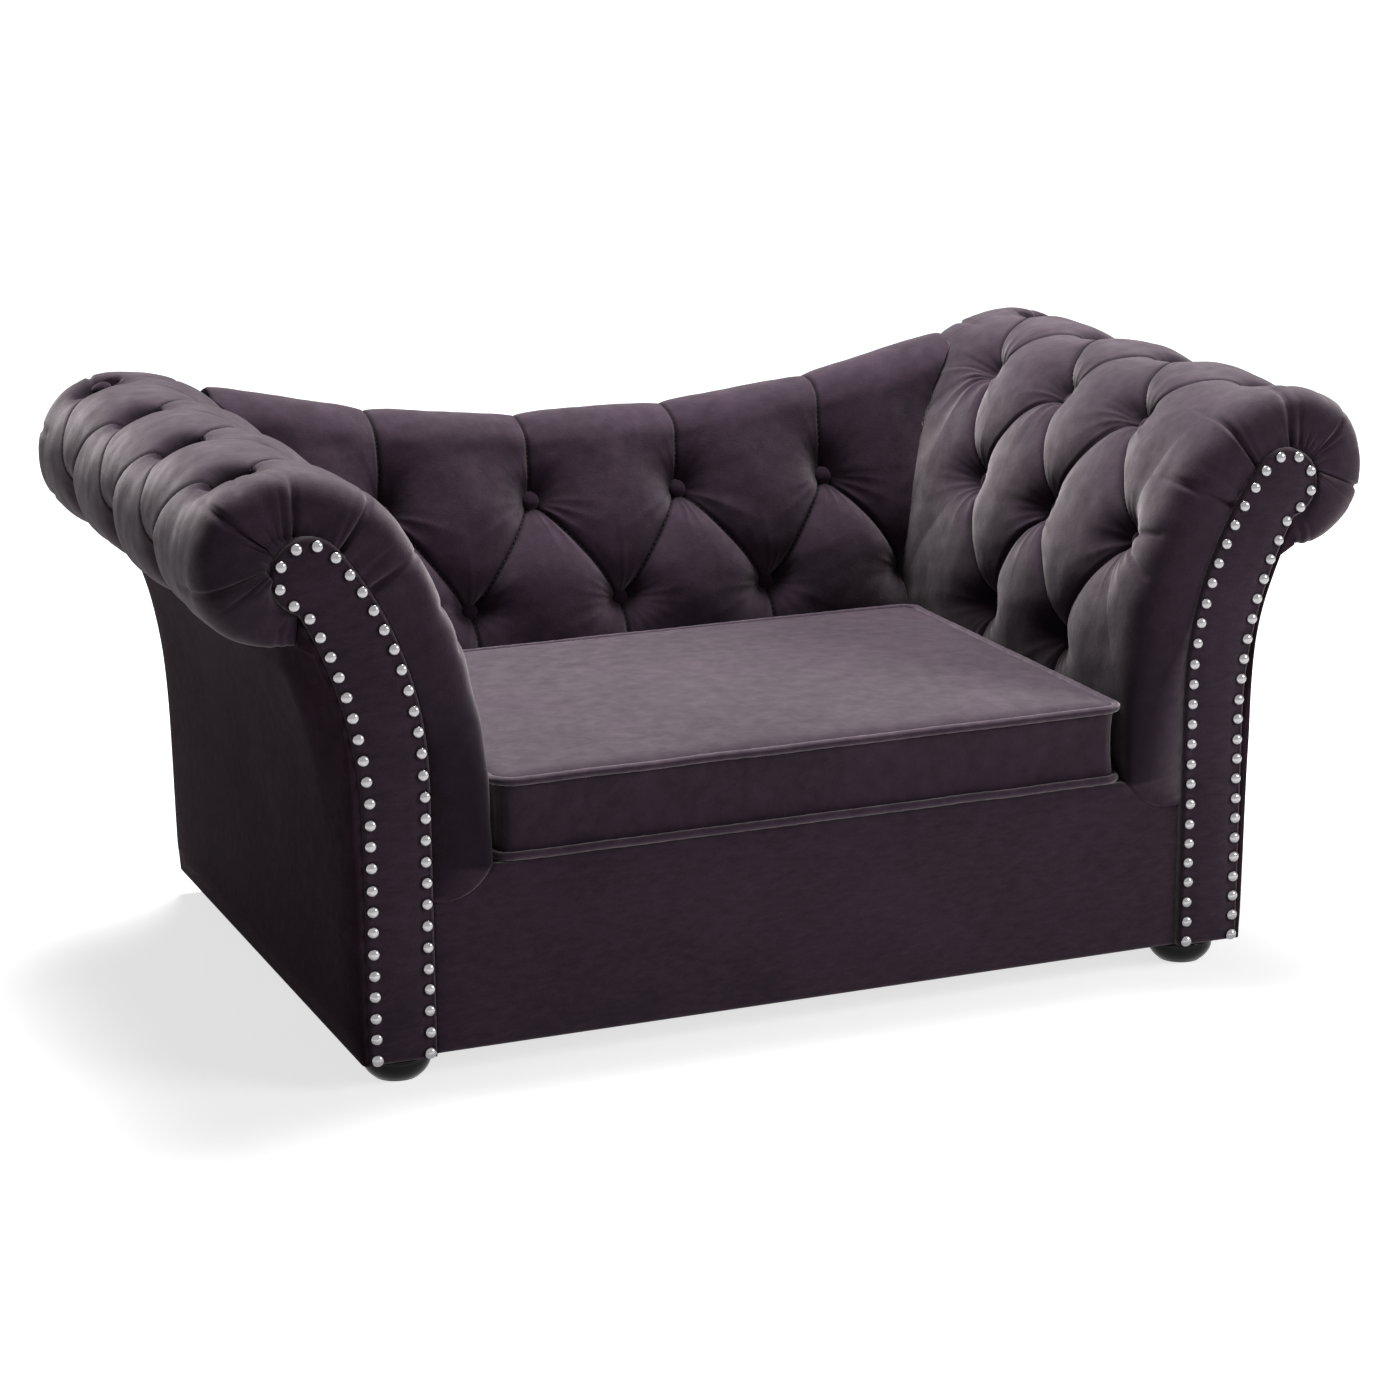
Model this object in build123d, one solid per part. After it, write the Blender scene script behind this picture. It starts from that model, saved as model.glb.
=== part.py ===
# A pet sofa bed in the style of deep-buttoned, scroll-armed upholstery.
# A timber and board frame carries two scroll arms and a raked back, all under tufted pads.
# A loose box cushion lies on the deck, and four turned bun feet screw up into corner blocks.
# Millimetres. X runs along the width, Y from front to rear and Z up from the floor.
# Shapes are drawn with Y as the depth behind the flat arm facings, then moved so that the
# origin is on the floor under the middle of the whole piece. Right is +X, as seen from the front.
from build123d import *
import math
import os

# Overall sizes
overall_width = 1040.0
overall_depth = 584.0
overall_height = 510.0
foot_height = 24.0
base_height = 154.0

# Clearances
fit_gap = 0.3
cushion_gap = 1.0

# Arm scroll: the flat shape of the arm's end
roll_overhang = 122.0
scroll_width = 57.0
scroll_tip_radius = 31.0
inner_sweep_radius = 313.0
tip_rise = 176.0
outer_sweep_radius = 362.0
sweep_step = 28.0
pad_over_tip = 51.0

# Boards and timbers
facing_thickness = 12.0
post_thickness = 12.0
liner_thickness = 4.0
board_thickness = 12.0
deck_thickness = 12.0
rail_thickness = 18.0
corner_block_height = 50.0
corner_block_depth = 46.0
centre_rail_height = 90.0
side_rail_height = 70.0
dust_cover_thickness = 1.0
deck_cloth_thickness = 1.0
facing_edge_chamfer = 3.0

# Arm pads
arm_pad_thickness = 53.0
roll_radius = 68.0
notch_reach = 3.31
arm_pad_drop = 25.0
arm_pad_setback = 4.0
arm_end_round = 38.0
low_end_share = 0.26
notch_end_share = 0.3
low_end_growth = 160.0
notch_end_growth = 60.0
arm_tuft_depth = 36.0
arm_first_tuft = 95.0
arm_last_tuft_setback = 65.4
arm_first_row = 93.0
arm_last_row_setback = 84.9
arm_station_count = 7
arm_row_shares = [1.0, 1.0, 1.0, 0.8, 0.35]
arm_last_share = 0.5
arm_button_rows = 4
arm_pleat_depth = 6.0
end_turns = 4
sweep_facets = 4
tip_facets = 8

# Side, front and rear covers
cover_thickness = 6.0
side_pad_foot = 5.0
side_pad_waist = 8.0
side_waist_height = 200.0
side_lip_drop = 8.26
side_tuck = 12.0
side_flare_share = 0.31
front_flare_share = 0.3
side_taper_depth = 60.0

# Back
back_pad_thickness = 135.4
back_crest_reach = 27.4
back_crest_height = 440.5
back_roll_radius = 45.0
back_top_radius = 1395.0
back_low_row_height = 280.0
back_high_row_height = 375.0
back_tuft_pitch = 148.0
back_low_tuft_depth = 34.0
back_high_tuft_depth = 26.0
back_pleat_depth = 6.0
back_side_stations = 5
back_bands = 4

# How the pads puff up between tufts, and the slack of the arm pad's low corner
tuft_steps = 4
back_steps = 3
puff_power = 1.8
corner_bulge_share = 0.16

# Covered buttons
button_radius = 9.0
button_stem_radius = 1.5
button_crown_radius = 5.0
button_cup = 9.5
button_height = 12.5
button_sides = 8

# Decorative nails
nail_radius = 5.15
nail_height = 3.6
nail_crown_radius = 2.6
nail_pitch = 17.8
nail_inset = 6.0
nail_foot_gap = 5.0
nail_sides = 7

# Box cushion
cushion_front = 5.0
cushion_thickness = 69.0
cushion_crown = 10.0
cushion_corner_radius = 28.0
welt_radius = 3.25
welt_stand = 5.0
boxing_draw = 3.0
boxing_band = 30.0
corner_facets = 3
welt_sides = 8
cushion_cover_thickness = 1.2
crown_inset_shares = [0.2, 0.5, 0.85]
crown_rise_shares = [0.5, 0.85, 1.0]

# Zip on the rear of the cushion
zip_length = 400.0
zip_tape_width = 22.0
zip_tape_thickness = 1.0
zip_teeth_width = 5.0
zip_teeth_height = 1.5
slider_length = 11.0
slider_width = 9.0
slider_wall = 1.6
pull_length = 18.0
pull_width = 5.0
slider_start = 185.0

# Bun feet and their screws
foot_radius = 28.5
foot_bottom_radius = 20.0
foot_height_shares = [0.0, 0.12, 0.35, 0.62, 0.85, 1.0]
foot_bulge_shares = [0.0, 0.5, 0.88, 1.0, 0.9, 0.66]
foot_sides = 32
foot_side_inset = 23.0
foot_inset = 40.0
screw_radius = 3.0
screw_reach = 30.0
screw_sink = 14.0
screw_sides = 12

# Worked-out places
front_y = nail_height - overall_depth / 2
rear = overall_depth - nail_height
scroll_outer_x = overall_width / 2 - roll_overhang
scroll_inner_x = scroll_outer_x - scroll_width
frame_bottom = foot_height + dust_cover_thickness
deck_top = foot_height + base_height
board_top = deck_top - deck_cloth_thickness
rail_top = board_top - deck_thickness
arm_face_x = scroll_inner_x - arm_pad_thickness
board_front = rear - cover_thickness - board_thickness
back_face_depth = board_front - back_pad_thickness
back_crest_depth = board_front - back_crest_reach
arm_tuft_pitch = 2 * (rear - arm_last_tuft_setback - arm_first_tuft) / (arm_station_count - 1)
foot_x = scroll_inner_x + foot_side_inset
post_back = facing_thickness + post_thickness
tip_height = overall_height - pad_over_tip - scroll_tip_radius
inner_sweep_height = tip_height - tip_rise
outer_sweep_height = inner_sweep_height - sweep_step
inner_centre = (scroll_inner_x + inner_sweep_radius, inner_sweep_height)
outer_centre = (scroll_outer_x + outer_sweep_radius, outer_sweep_height)
tip_reach = inner_sweep_radius - scroll_tip_radius
tip_centre = (inner_centre[0] - math.sqrt(tip_reach**2 - tip_rise**2), tip_height)
tip_join_angle = 180 - math.degrees(math.asin(tip_rise / tip_reach))
solids = {}


# Small drawing helpers
def at_depth(point, y):
    """A point of the XZ plane, at a depth."""
    return Vector(point[0], y, point[1])


def on_circle(centre, radius, angle):
    turn = math.radians(angle)
    return (centre[0] + radius * math.cos(turn), centre[1] + radius * math.sin(turn))


def angle_about(centre, point):
    return math.degrees(math.atan2(point[1] - centre[1], point[0] - centre[0]))


def round_edge(centre, radius, start, end, y):
    """An arc in the XZ plane, from one angle to another."""
    middle = on_circle(centre, radius, (start + end) / 2)
    first = on_circle(centre, radius, start)
    last = on_circle(centre, radius, end)
    return ThreePointArc(at_depth(first, y), at_depth(middle, y), at_depth(last, y))


def straight_edge(first, last, y):
    return Line(at_depth(first, y), at_depth(last, y))


def bowed_edge(first, middle, last, y):
    return ThreePointArc(at_depth(first, y), at_depth(middle, y), at_depth(last, y))


def slab(edges, thickness):
    """A flat piece: an outline in an XZ plane, pushed towards the rear."""
    return Solid.extrude(Face(Wire(edges)), Vector(0, thickness, 0))


def block(x_from, x_to, y_from, y_to, z_from, z_to):
    size = (x_to - x_from, y_to - y_from, z_to - z_from)
    return Pos(x_from, y_from, z_from) * Box(*size, align=(Align.MIN, Align.MIN, Align.MIN))


def keep(name, shape):
    """File one piece under its name, moved from drawing depth to its place about the origin."""
    solids[name] = Pos(0, front_y, 0) * shape


def keep_pair(name, shape):
    """File a piece of the right arm and its mirror image on the left."""
    keep("right_" + name, shape)
    keep("left_" + name, mirror(shape, about=Plane.YZ))


# Arm scroll
def scroll_corner(inset):
    """The notch where the outer sweep meets the tip, as a point of the inset outline."""
    tip_radius = scroll_tip_radius - inset
    sweep_radius = outer_sweep_radius + inset
    across = (outer_centre[0] - tip_centre[0], outer_centre[1] - tip_centre[1])
    gap = math.hypot(*across)
    along = (tip_radius**2 - sweep_radius**2 + gap**2) / (2 * gap)
    aside = math.sqrt(tip_radius**2 - along**2)
    unit = (across[0] / gap, across[1] / gap)
    x = tip_centre[0] + unit[0] * along + unit[1] * aside
    z = tip_centre[1] + unit[1] * along - unit[0] * aside
    return (x, z)


def tip_angles(inset):
    """Where the tip starts on the inner sweep, its middle, and where it ends at the notch."""
    end = angle_about(tip_centre, scroll_corner(inset))
    return tip_join_angle, (tip_join_angle + end) / 2, end


def inner_run(inset, y, bottom):
    """Edges from the foot of the inner side up, over the tip and down to the notch."""
    start, middle, end = tip_angles(inset)
    x = scroll_inner_x + inset
    sweep = inner_sweep_radius - inset
    tip = scroll_tip_radius - inset
    return [
        straight_edge((x, bottom), (x, inner_sweep_height), y),
        round_edge(inner_centre, sweep, 180, tip_join_angle, y),
        round_edge(tip_centre, tip, start, middle, y),
        round_edge(tip_centre, tip, middle, end, y),
    ]


def outer_run(inset, y, bottom):
    """Edges from the notch down the outer side to its foot."""
    notch = angle_about(outer_centre, scroll_corner(inset))
    x = scroll_outer_x - inset
    return [
        round_edge(outer_centre, outer_sweep_radius + inset, notch, 180, y),
        straight_edge((x, outer_sweep_height), (x, bottom), y),
    ]


def scroll_board(inset, y, thickness, bottom):
    """A board in the arm's scroll shape."""
    foot_line = straight_edge((scroll_outer_x - inset, bottom), (scroll_inner_x + inset, bottom), y)
    return slab(inner_run(inset, y, bottom) + outer_run(inset, y, bottom) + [foot_line], thickness)


def arm_liner():
    """The bent board that runs over the scrolls from the deck to the notch under the roll."""
    bottom = deck_top - arm_pad_drop
    edges = inner_run(0, facing_thickness, bottom) + inner_run(liner_thickness, facing_thickness, bottom)
    edges.append(straight_edge(scroll_corner(0), scroll_corner(liner_thickness), facing_thickness))
    start = (scroll_inner_x, bottom)
    end = (scroll_inner_x + liner_thickness, bottom)
    edges.append(straight_edge(start, end, facing_thickness))
    return slab(edges, rear - cover_thickness - facing_thickness)


def side_board():
    """The bent board that closes the outer side, up to just below the liner's edge."""
    y = facing_thickness
    top = angle_about(outer_centre, scroll_corner(0)) + math.degrees(fit_gap / outer_sweep_radius)
    skin_radius = outer_sweep_radius
    back_radius = outer_sweep_radius + liner_thickness
    skin_top = on_circle(outer_centre, skin_radius, top)
    skin_x = scroll_outer_x
    back_x = scroll_outer_x - liner_thickness
    edges = [
        round_edge(outer_centre, skin_radius, top, 180, y),
        straight_edge((skin_x, outer_sweep_height), (skin_x, frame_bottom), y),
        straight_edge((skin_x, frame_bottom), (back_x, frame_bottom), y),
        straight_edge((back_x, frame_bottom), (back_x, outer_sweep_height), y),
        round_edge(outer_centre, back_radius, 180, top, y),
        straight_edge(on_circle(outer_centre, back_radius, top), skin_top, y),
    ]
    return slab(edges, rear - cover_thickness - facing_thickness)


# Arm pad: its skin is a straight face, a sweep, a shoulder and a roll, each tangent to the next
face_radius = inner_sweep_radius + arm_pad_thickness
roll_centre = (overall_width / 2 - roll_radius, overall_height - roll_radius)
shoulder_run = inner_centre[0] - roll_centre[0]
shoulder_rise = overall_height - inner_sweep_height
shoulder_radius = (face_radius**2 - shoulder_run**2 - shoulder_rise**2) / (2 * (face_radius - shoulder_rise))
shoulder_centre = (roll_centre[0], overall_height - shoulder_radius)
shoulder_angle = angle_about(inner_centre, shoulder_centre)
roll_end_x = scroll_corner(0)[0] + notch_reach
roll_end_angle = -math.degrees(math.acos((roll_end_x - roll_centre[0]) / roll_radius))
straight_length = inner_sweep_height - deck_top
sweep_length = face_radius * math.radians(180 - shoulder_angle)
shoulder_length = shoulder_radius * math.radians(shoulder_angle - 90)
roll_length = roll_radius * math.radians(90 - roll_end_angle)
skin_length = straight_length + sweep_length + shoulder_length + roll_length
arm_row_span = skin_length - arm_last_row_setback - arm_first_row
arm_row_pitch = arm_row_span / (len(arm_row_shares) - 1)


def arm_skin(run, inset):
    """The point of the skin at a run from the deck, sunk by an inset."""
    if run <= straight_length:
        return (arm_face_x + inset, deck_top + run)
    run = run - straight_length
    if run <= sweep_length:
        return on_circle(inner_centre, face_radius - inset, 180 - math.degrees(run / face_radius))
    run = run - sweep_length
    if run <= shoulder_length:
        angle = shoulder_angle - math.degrees(run / shoulder_radius)
        return on_circle(shoulder_centre, shoulder_radius - inset, angle)
    run = run - shoulder_length
    return on_circle(roll_centre, roll_radius - inset, 90 - math.degrees(run / roll_radius))


# Tufted skins: a grid of flat facets, with tufts on even grid points and folds between them
def tangent_chain(centre, radius, start, end, count):
    """Corners of a run of straight lines that lies just outside an arc."""
    step = (end - start) / count
    reach = radius / math.cos(math.radians(step / 2))
    return [on_circle(centre, reach, start + step * (turn + 0.5)) for turn in range(count)]


def cell_of(fine, steps, last):
    """Which cell of tufts a grid line lies in, and how far through it."""
    cell = min(fine // steps, last - 1)
    return cell, fine / steps - cell


def draw_at(dips, cell, along, across, plain):
    """How far the skin is drawn in inside a cell, whose corners may hold a tuft.

    A fold runs between the two drawn-in corners of a cell, or along a station in a plain one.
    """
    i, j = cell
    near_low, near_high = dips.get((i, j), 0), dips.get((i, j + 1), 0)
    far_low, far_high = dips.get((i + 1, j), 0), dips.get((i + 1, j + 1), 0)
    if plain:
        near = near_low + (near_high - near_low) * across**puff_power
        far = far_low + (far_high - far_low) * across**puff_power
        return near * (1 - along) ** puff_power + far * along**puff_power
    if near_low + far_high > near_high + far_low:
        low, high = min(along, across), max(along, across)
        return near_low * (1 - high) ** puff_power + far_high * low**puff_power
    low, high = min(along, 1 - across), max(along, 1 - across)
    return near_high * (1 - high) ** puff_power + far_low * low**puff_power


def skin_facets(grid, rising):
    """Triangles over a grid of points, each cell split along the way that its fold runs."""
    facets = []
    for i, (near, far) in enumerate(zip(grid, grid[1:])):
        for j in range(len(near) - 1):
            a, b, c, d = near[j], far[j], far[j + 1], near[j + 1]
            if rising(i, j):
                facets += [(a, b, c), (a, c, d)]
            else:
                facets += [(a, b, d), (b, c, d)]
    return facets


def fold_rises(dips, i, j):
    """Whether a cell's fold runs from its near low corner to its far high one."""
    rising = dips.get((i, j), 0) + dips.get((i + 1, j + 1), 0)
    return rising > dips.get((i, j + 1), 0) + dips.get((i + 1, j), 0)


def faceted_solid(facets):
    """A solid bounded by flat facets, each a ring of points."""
    return Solid(Shell([Face(Wire.make_polygon(ring, close=True)) for ring in facets]))


def ring_facets(rings):
    """Flat sides between rings of matching points."""
    facets = []
    for near, far in zip(rings, rings[1:]):
        for k in range(len(near)):
            after = (k + 1) % len(near)
            facets.append((near[k], near[after], far[after], far[k]))
    return facets


def lathe(levels, sides):
    """A faceted turned piece on the Z axis, from radii and heights."""
    turns = [360 * (k + 0.5) / sides for k in range(sides)]
    rings = []
    for radius, height in levels:
        rings.append([Vector(*on_circle((0, 0), radius, turn), height) for turn in turns])
    return faceted_solid(ring_facets(rings) + [rings[0], rings[-1]])


arm_rows = [arm_first_row + arm_row_pitch * row for row in range(len(arm_row_shares))]
arm_knots = [0] + arm_rows + [skin_length]
arm_bands = len(arm_knots) - 1
arm_low_corner = (scroll_inner_x - fit_gap, deck_top - arm_pad_drop)


def end_share(run):
    """How much of its full end rounding the pad has at a run: little by the deck and by the notch."""
    low = low_end_share + (1 - low_end_share) * min(run / low_end_growth, 1)
    late = notch_end_share + (1 - notch_end_share) * min((skin_length - run) / notch_end_growth, 1)
    return min(low, late)


def low_corner_point(draw):
    """The middle of the pad's rounded lower corner, where it tucks in beside the front cover."""
    first = arm_skin(0, draw)
    slack = corner_bulge_share * math.dist(arm_low_corner, first)
    return ((arm_low_corner[0] + first[0]) / 2 - slack / 2, (arm_low_corner[1] + first[1]) / 2 - slack)


def end_curve():
    """Depth and draw-in of the pad's rounded end."""
    angles = [math.radians(90 * turn / end_turns) for turn in range(end_turns + 1)]
    return [(arm_end_round * (1 - math.cos(a)), arm_end_round * (1 - math.sin(a))) for a in angles]


def arm_stations():
    """Plane, rounding depth from it, draw-in and tuft station of every section, front to rear."""
    pad_rear = rear - cover_thickness - fit_gap
    front = [(arm_pad_setback, depth, draw, 0) for depth, draw in end_curve()]
    back = [(pad_rear, -depth, draw, arm_station_count + 1) for depth, draw in reversed(end_curve())]
    tufts = [arm_first_tuft + arm_tuft_pitch / 2 * station for station in range(arm_station_count)]
    stops = [arm_pad_setback + arm_end_round] + tufts + [pad_rear - arm_end_round]
    middle = []
    for cell, (start, end) in enumerate(zip(stops, stops[1:])):
        for step in range(1, tuft_steps + 1):
            share = step / tuft_steps
            middle.append((start + share * (end - start), 0, 0, cell + share))
    return front + middle[:-1] + back


def arm_dips():
    """Depths at the tufts and the fold ends, by tuft station and skin knot."""
    dips = {}
    for station in range(1, arm_station_count + 1):
        y = arm_first_tuft + (station - 1) * arm_tuft_pitch / 2
        for row, share in enumerate(arm_row_shares):
            hidden = y > back_face_depth and row < 2
            if (row + station) % 2 == 0 and not hidden:
                last = arm_last_share if station == arm_station_count else 1
                dips[station, row + 1] = share * last * arm_tuft_depth
        if (station, 1) in dips:
            dips[station, 0] = arm_pleat_depth
        if (station, arm_bands - 1) in dips:
            dips[station, arm_bands] = arm_pleat_depth
    return dips


def arm_pad():
    dips = arm_dips()
    stations = arm_stations()
    grid = []
    for plane, depth, draw, place in stations:
        station = min(int(place), arm_station_count)
        low_y = plane + depth * low_end_share
        line = [at_depth(arm_low_corner, low_y), at_depth(low_corner_point(draw * low_end_share), low_y)]
        for fine in range(arm_bands * tuft_steps + 1):
            band, across = cell_of(fine, tuft_steps, arm_bands)
            run = arm_knots[band] + across * (arm_knots[band + 1] - arm_knots[band])
            plain = band in (0, arm_bands - 1)
            sink = draw_at(dips, (station, band), place - station, across, plain)
            share = end_share(run)
            line.append(at_depth(arm_skin(run, sink + draw * share), plane + depth * share))
        line.append(at_depth(scroll_corner(-fit_gap), plane + depth * notch_end_share))
        grid.append(line)

    def rising(i, j):
        station = int((stations[i][3] + stations[i + 1][3]) / 2)
        return fold_rises(dips, station, (j - 2) // tuft_steps)

    start, middle, end = tip_angles(-fit_gap)
    inside = [(arm_low_corner[0], inner_sweep_height)]
    inside += tangent_chain(inner_centre, inner_sweep_radius + fit_gap, 180, start, sweep_facets)
    inside += tangent_chain(tip_centre, scroll_tip_radius + fit_gap, start, end, tip_facets)
    near = [at_depth(point, arm_pad_setback) for point in inside]
    far = [at_depth(point, rear - cover_thickness - fit_gap) for point in inside]
    facets = skin_facets(grid, rising)
    facets += [(a, b, d, c) for a, b, c, d in zip(near, near[1:], far, far[1:])]
    facets.append([line[0] for line in grid] + [far[0], near[0]])
    facets.append([line[-1] for line in grid] + [far[-1], near[-1]])
    facets.append(grid[0] + near[::-1])
    facets.append(grid[-1] + far[::-1])
    pad = faceted_solid(facets)
    return pad - back_zone(board_front - fit_gap, board_thickness + cover_thickness, fit_gap)


# Back
def crest_at(x):
    return back_crest_height + back_top_radius - math.sqrt(back_top_radius**2 - x**2)


def top_line(rise, half_width, y):
    """The dished line of the back, as an edge, at a height over the board's top."""
    low = back_crest_height - back_roll_radius + rise
    high = crest_at(half_width) - back_roll_radius + rise
    return bowed_edge((half_width, high), (0, low), (-half_width, high), y), high


def back_zone(y, thickness, gap):
    """The flat shape of the back between the arm scrolls, under its dished top line."""
    half_width = scroll_inner_x - fit_gap + gap
    top, high = top_line(gap - fit_gap, half_width, y)
    edges = [
        top,
        straight_edge((-half_width, high), (-half_width, frame_bottom), y),
        straight_edge((-half_width, frame_bottom), (half_width, frame_bottom), y),
        straight_edge((half_width, frame_bottom), (half_width, high), y),
    ]
    return slab(edges, thickness)


def back_skin(x, band, across, sink):
    """A point of the back's skin: upright to the low row, raked to the high row, then over."""
    roll = (back_crest_depth, crest_at(x) - back_roll_radius)
    low = (back_face_depth, back_low_row_height)
    reach = math.dist(low, roll)
    rake = math.atan2(roll[1] - low[1], roll[0] - low[0]) + math.asin(back_roll_radius / reach)
    foot = board_top + fit_gap
    if band == 0:
        return (low[0] + sink, foot + (low[1] - foot) * across)
    if band == 1:
        climb = (back_high_row_height - low[1]) * across
        lean = low[0] + climb / math.tan(rake)
        return (lean + sink * math.sin(rake), low[1] + climb - sink * math.cos(rake))
    facing_turn = math.degrees(rake) + 90
    start = angle_about(roll, back_skin(x, 1, 1, 0)) % 360 if band == 2 else 90
    end = 90 if band == 2 else 0
    turn = start + (end - start) * across
    edge = on_circle(roll, back_roll_radius / math.cos(math.radians(max(turn - facing_turn, 0))), turn)
    inwards = on_circle((0, 0), -sink, min(turn, facing_turn))
    return (edge[0] + inwards[0], edge[1] + inwards[1])


def back_stations():
    """Place and tuft station of every section, left to right."""
    count = 2 * back_side_stations * back_steps
    places = [fine / back_steps for fine in range(count + 1)]
    return [(back_tuft_pitch / 2 * (place - back_side_stations), place) for place in places]


def back_dips():
    """Depths at the two rows of buttons and along their long folds, by station and skin knot."""
    dips = {}
    for station in range(2 * back_side_stations + 1):
        if (station - back_side_stations) % 2:
            dips[station, 2] = back_high_tuft_depth
            dips[station, 3] = back_pleat_depth
        else:
            dips[station, 1] = back_low_tuft_depth
            dips[station, 0] = back_pleat_depth
    return dips


def back_pad():
    dips = back_dips()
    stations = back_stations()
    grid = []
    for x, place in stations:
        station = min(int(place), 2 * back_side_stations - 1)
        line = []
        for fine in range(back_bands * back_steps + 1):
            band, across = cell_of(fine, back_steps, back_bands)
            sink = draw_at(dips, (station, band), place - station, across, band != 1)
            line.append(back_skin(x, band, across, sink))
        grid.append([Vector(x, y, z) for y, z in line])

    def rising(i, j):
        return fold_rises(dips, i // back_steps, j // back_steps)

    face = board_front - fit_gap
    foot = board_top + fit_gap
    heels = [Vector(line[-1].X, face, line[-1].Z) for line in grid]
    corners = [Vector(heels[-1].X, face, foot), Vector(heels[0].X, face, foot)]
    facets = skin_facets(grid, rising)
    facets += [(a[-1], b[-1], d, c) for a, b, c, d in zip(grid, grid[1:], heels, heels[1:])]
    facets.append(heels + corners)
    facets.append([line[0] for line in grid] + corners)
    facets.append(grid[0] + [heels[0], corners[1]])
    facets.append(grid[-1] + [heels[-1], corners[0]])
    room = arm_envelope()
    return faceted_solid(facets) - room - mirror(room, about=Plane.YZ)


def arm_envelope():
    """The room that the right arm's pad takes, tufts filled, with a gap all round."""
    y = back_face_depth - back_roll_radius
    low = frame_bottom
    edges = [
        straight_edge((arm_face_x - fit_gap, low), (arm_face_x - fit_gap, inner_sweep_height), y),
        round_edge(inner_centre, face_radius + fit_gap, 180, shoulder_angle, y),
        round_edge(shoulder_centre, shoulder_radius + fit_gap, shoulder_angle, 90, y),
        round_edge(roll_centre, roll_radius + fit_gap, 90, 0, y),
        straight_edge((overall_width / 2 + fit_gap, roll_centre[1]), (overall_width / 2 + fit_gap, low), y),
        straight_edge((overall_width / 2 + fit_gap, low), (arm_face_x - fit_gap, low), y),
    ]
    return slab(edges, overall_depth)


def rear_panel():
    """The flat cover of the rear: both scrolls and all between them under the dished line."""
    y = rear - cover_thickness
    middle_width = tip_centre[0]
    top, high = top_line(-fit_gap, middle_width, y)
    edges = [
        top,
        straight_edge((-middle_width, high), (-middle_width, foot_height), y),
        straight_edge((-middle_width, foot_height), (middle_width, foot_height), y),
        straight_edge((middle_width, foot_height), (middle_width, high), y),
    ]
    limit = slab(edges, cover_thickness)
    arm = scroll_board(0, y, cover_thickness, foot_height)
    side = block(0, scroll_outer_x, y, rear, foot_height, tip_height)
    between = limit & (side + arm)
    return between + mirror(between, about=Plane.YZ) + arm + mirror(arm, about=Plane.YZ)


# Frame
def cross_rail(y):
    """A rail across the frame, cut lower at its ends to pass under the arm pads."""
    low_top = deck_top - arm_pad_drop - fit_gap
    wide = scroll_inner_x - fit_gap
    ends = block(-wide, wide, y, y + rail_thickness, frame_bottom, low_top)
    seat = arm_face_x - fit_gap
    return ends + block(-seat, seat, y, y + rail_thickness, low_top, rail_top)


def front_cover():
    """The padded cover of the front, its upper corners cut to the arm pads' lower ends."""
    y = facing_thickness - cover_thickness
    wide = scroll_inner_x - fit_gap
    seat = arm_face_x - fit_gap
    top = deck_top - fit_gap
    low = deck_top - arm_pad_drop - fit_gap
    slack = corner_bulge_share * math.dist((wide, low), (seat, top))
    middle = ((wide + seat) / 2 - slack / 2, (low + top) / 2 - slack)
    edges = [
        straight_edge((-wide, foot_height), (wide, foot_height), y),
        straight_edge((wide, foot_height), (wide, low), y),
        bowed_edge((wide, low), middle, (seat, top), y),
        straight_edge((seat, top), (-seat, top), y),
        bowed_edge((-seat, top), (-middle[0], middle[1]), (-wide, low), y),
        straight_edge((-wide, low), (-wide, foot_height), y),
    ]
    return slab(edges, cover_thickness)


def side_section(flare_share, y):
    """The outline of the side panel at a depth, with a share of its full swell at the lip."""
    inner = scroll_outer_x + fit_gap
    sweep = outer_sweep_radius - fit_gap
    roll_end = arm_skin(skin_length, 0)
    side_lip_height = roll_end[1] - side_lip_drop
    lip_angle = 180 - math.degrees(math.asin((side_lip_height - outer_sweep_height) / sweep))
    tuck_rise = side_lip_height + side_tuck - outer_sweep_height
    tuck_angle = 180 - math.degrees(math.asin(tuck_rise / outer_sweep_radius))
    tucked = on_circle(outer_centre, sweep, lip_angle)[0]
    full = roll_end[0] - fit_gap
    lip = (tucked + flare_share * (full - tucked), side_lip_height)
    foot = (scroll_outer_x + side_pad_foot, foot_height)
    waist = (scroll_outer_x + side_pad_waist, side_waist_height)
    lower = ((foot[0] + waist[0]) / 2 - fit_gap, (foot[1] + waist[1]) / 2)
    flare = (waist[0] + (lip[0] - waist[0]) * side_flare_share, (waist[1] + lip[1]) / 2)
    return [
        bowed_edge(foot, lower, waist, y),
        bowed_edge(waist, flare, lip, y),
        straight_edge(lip, on_circle(outer_centre, sweep, tuck_angle), y),
        round_edge(outer_centre, sweep, tuck_angle, 180, y),
        straight_edge((inner, outer_sweep_height), (inner, foot_height), y),
        straight_edge((inner, foot_height), foot, y),
    ]


def side_panel():
    """The padded cover of the arm's outer side, swelling out behind the facing to meet the roll."""
    y = arm_pad_setback / 2
    full_y = y + side_taper_depth
    front = Wire(side_section(front_flare_share, y))
    full = Wire(side_section(1, full_y))
    taper = Solid.make_loft([front, full], ruled=True)
    return taper + slab(side_section(1, full_y), rear - full_y)


# Buttons and nails
def covered_button():
    levels = [
        (button_stem_radius, button_stem_radius),
        (button_radius, button_cup),
        (button_crown_radius, button_height),
    ]
    return lathe(levels, button_sides)


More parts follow.
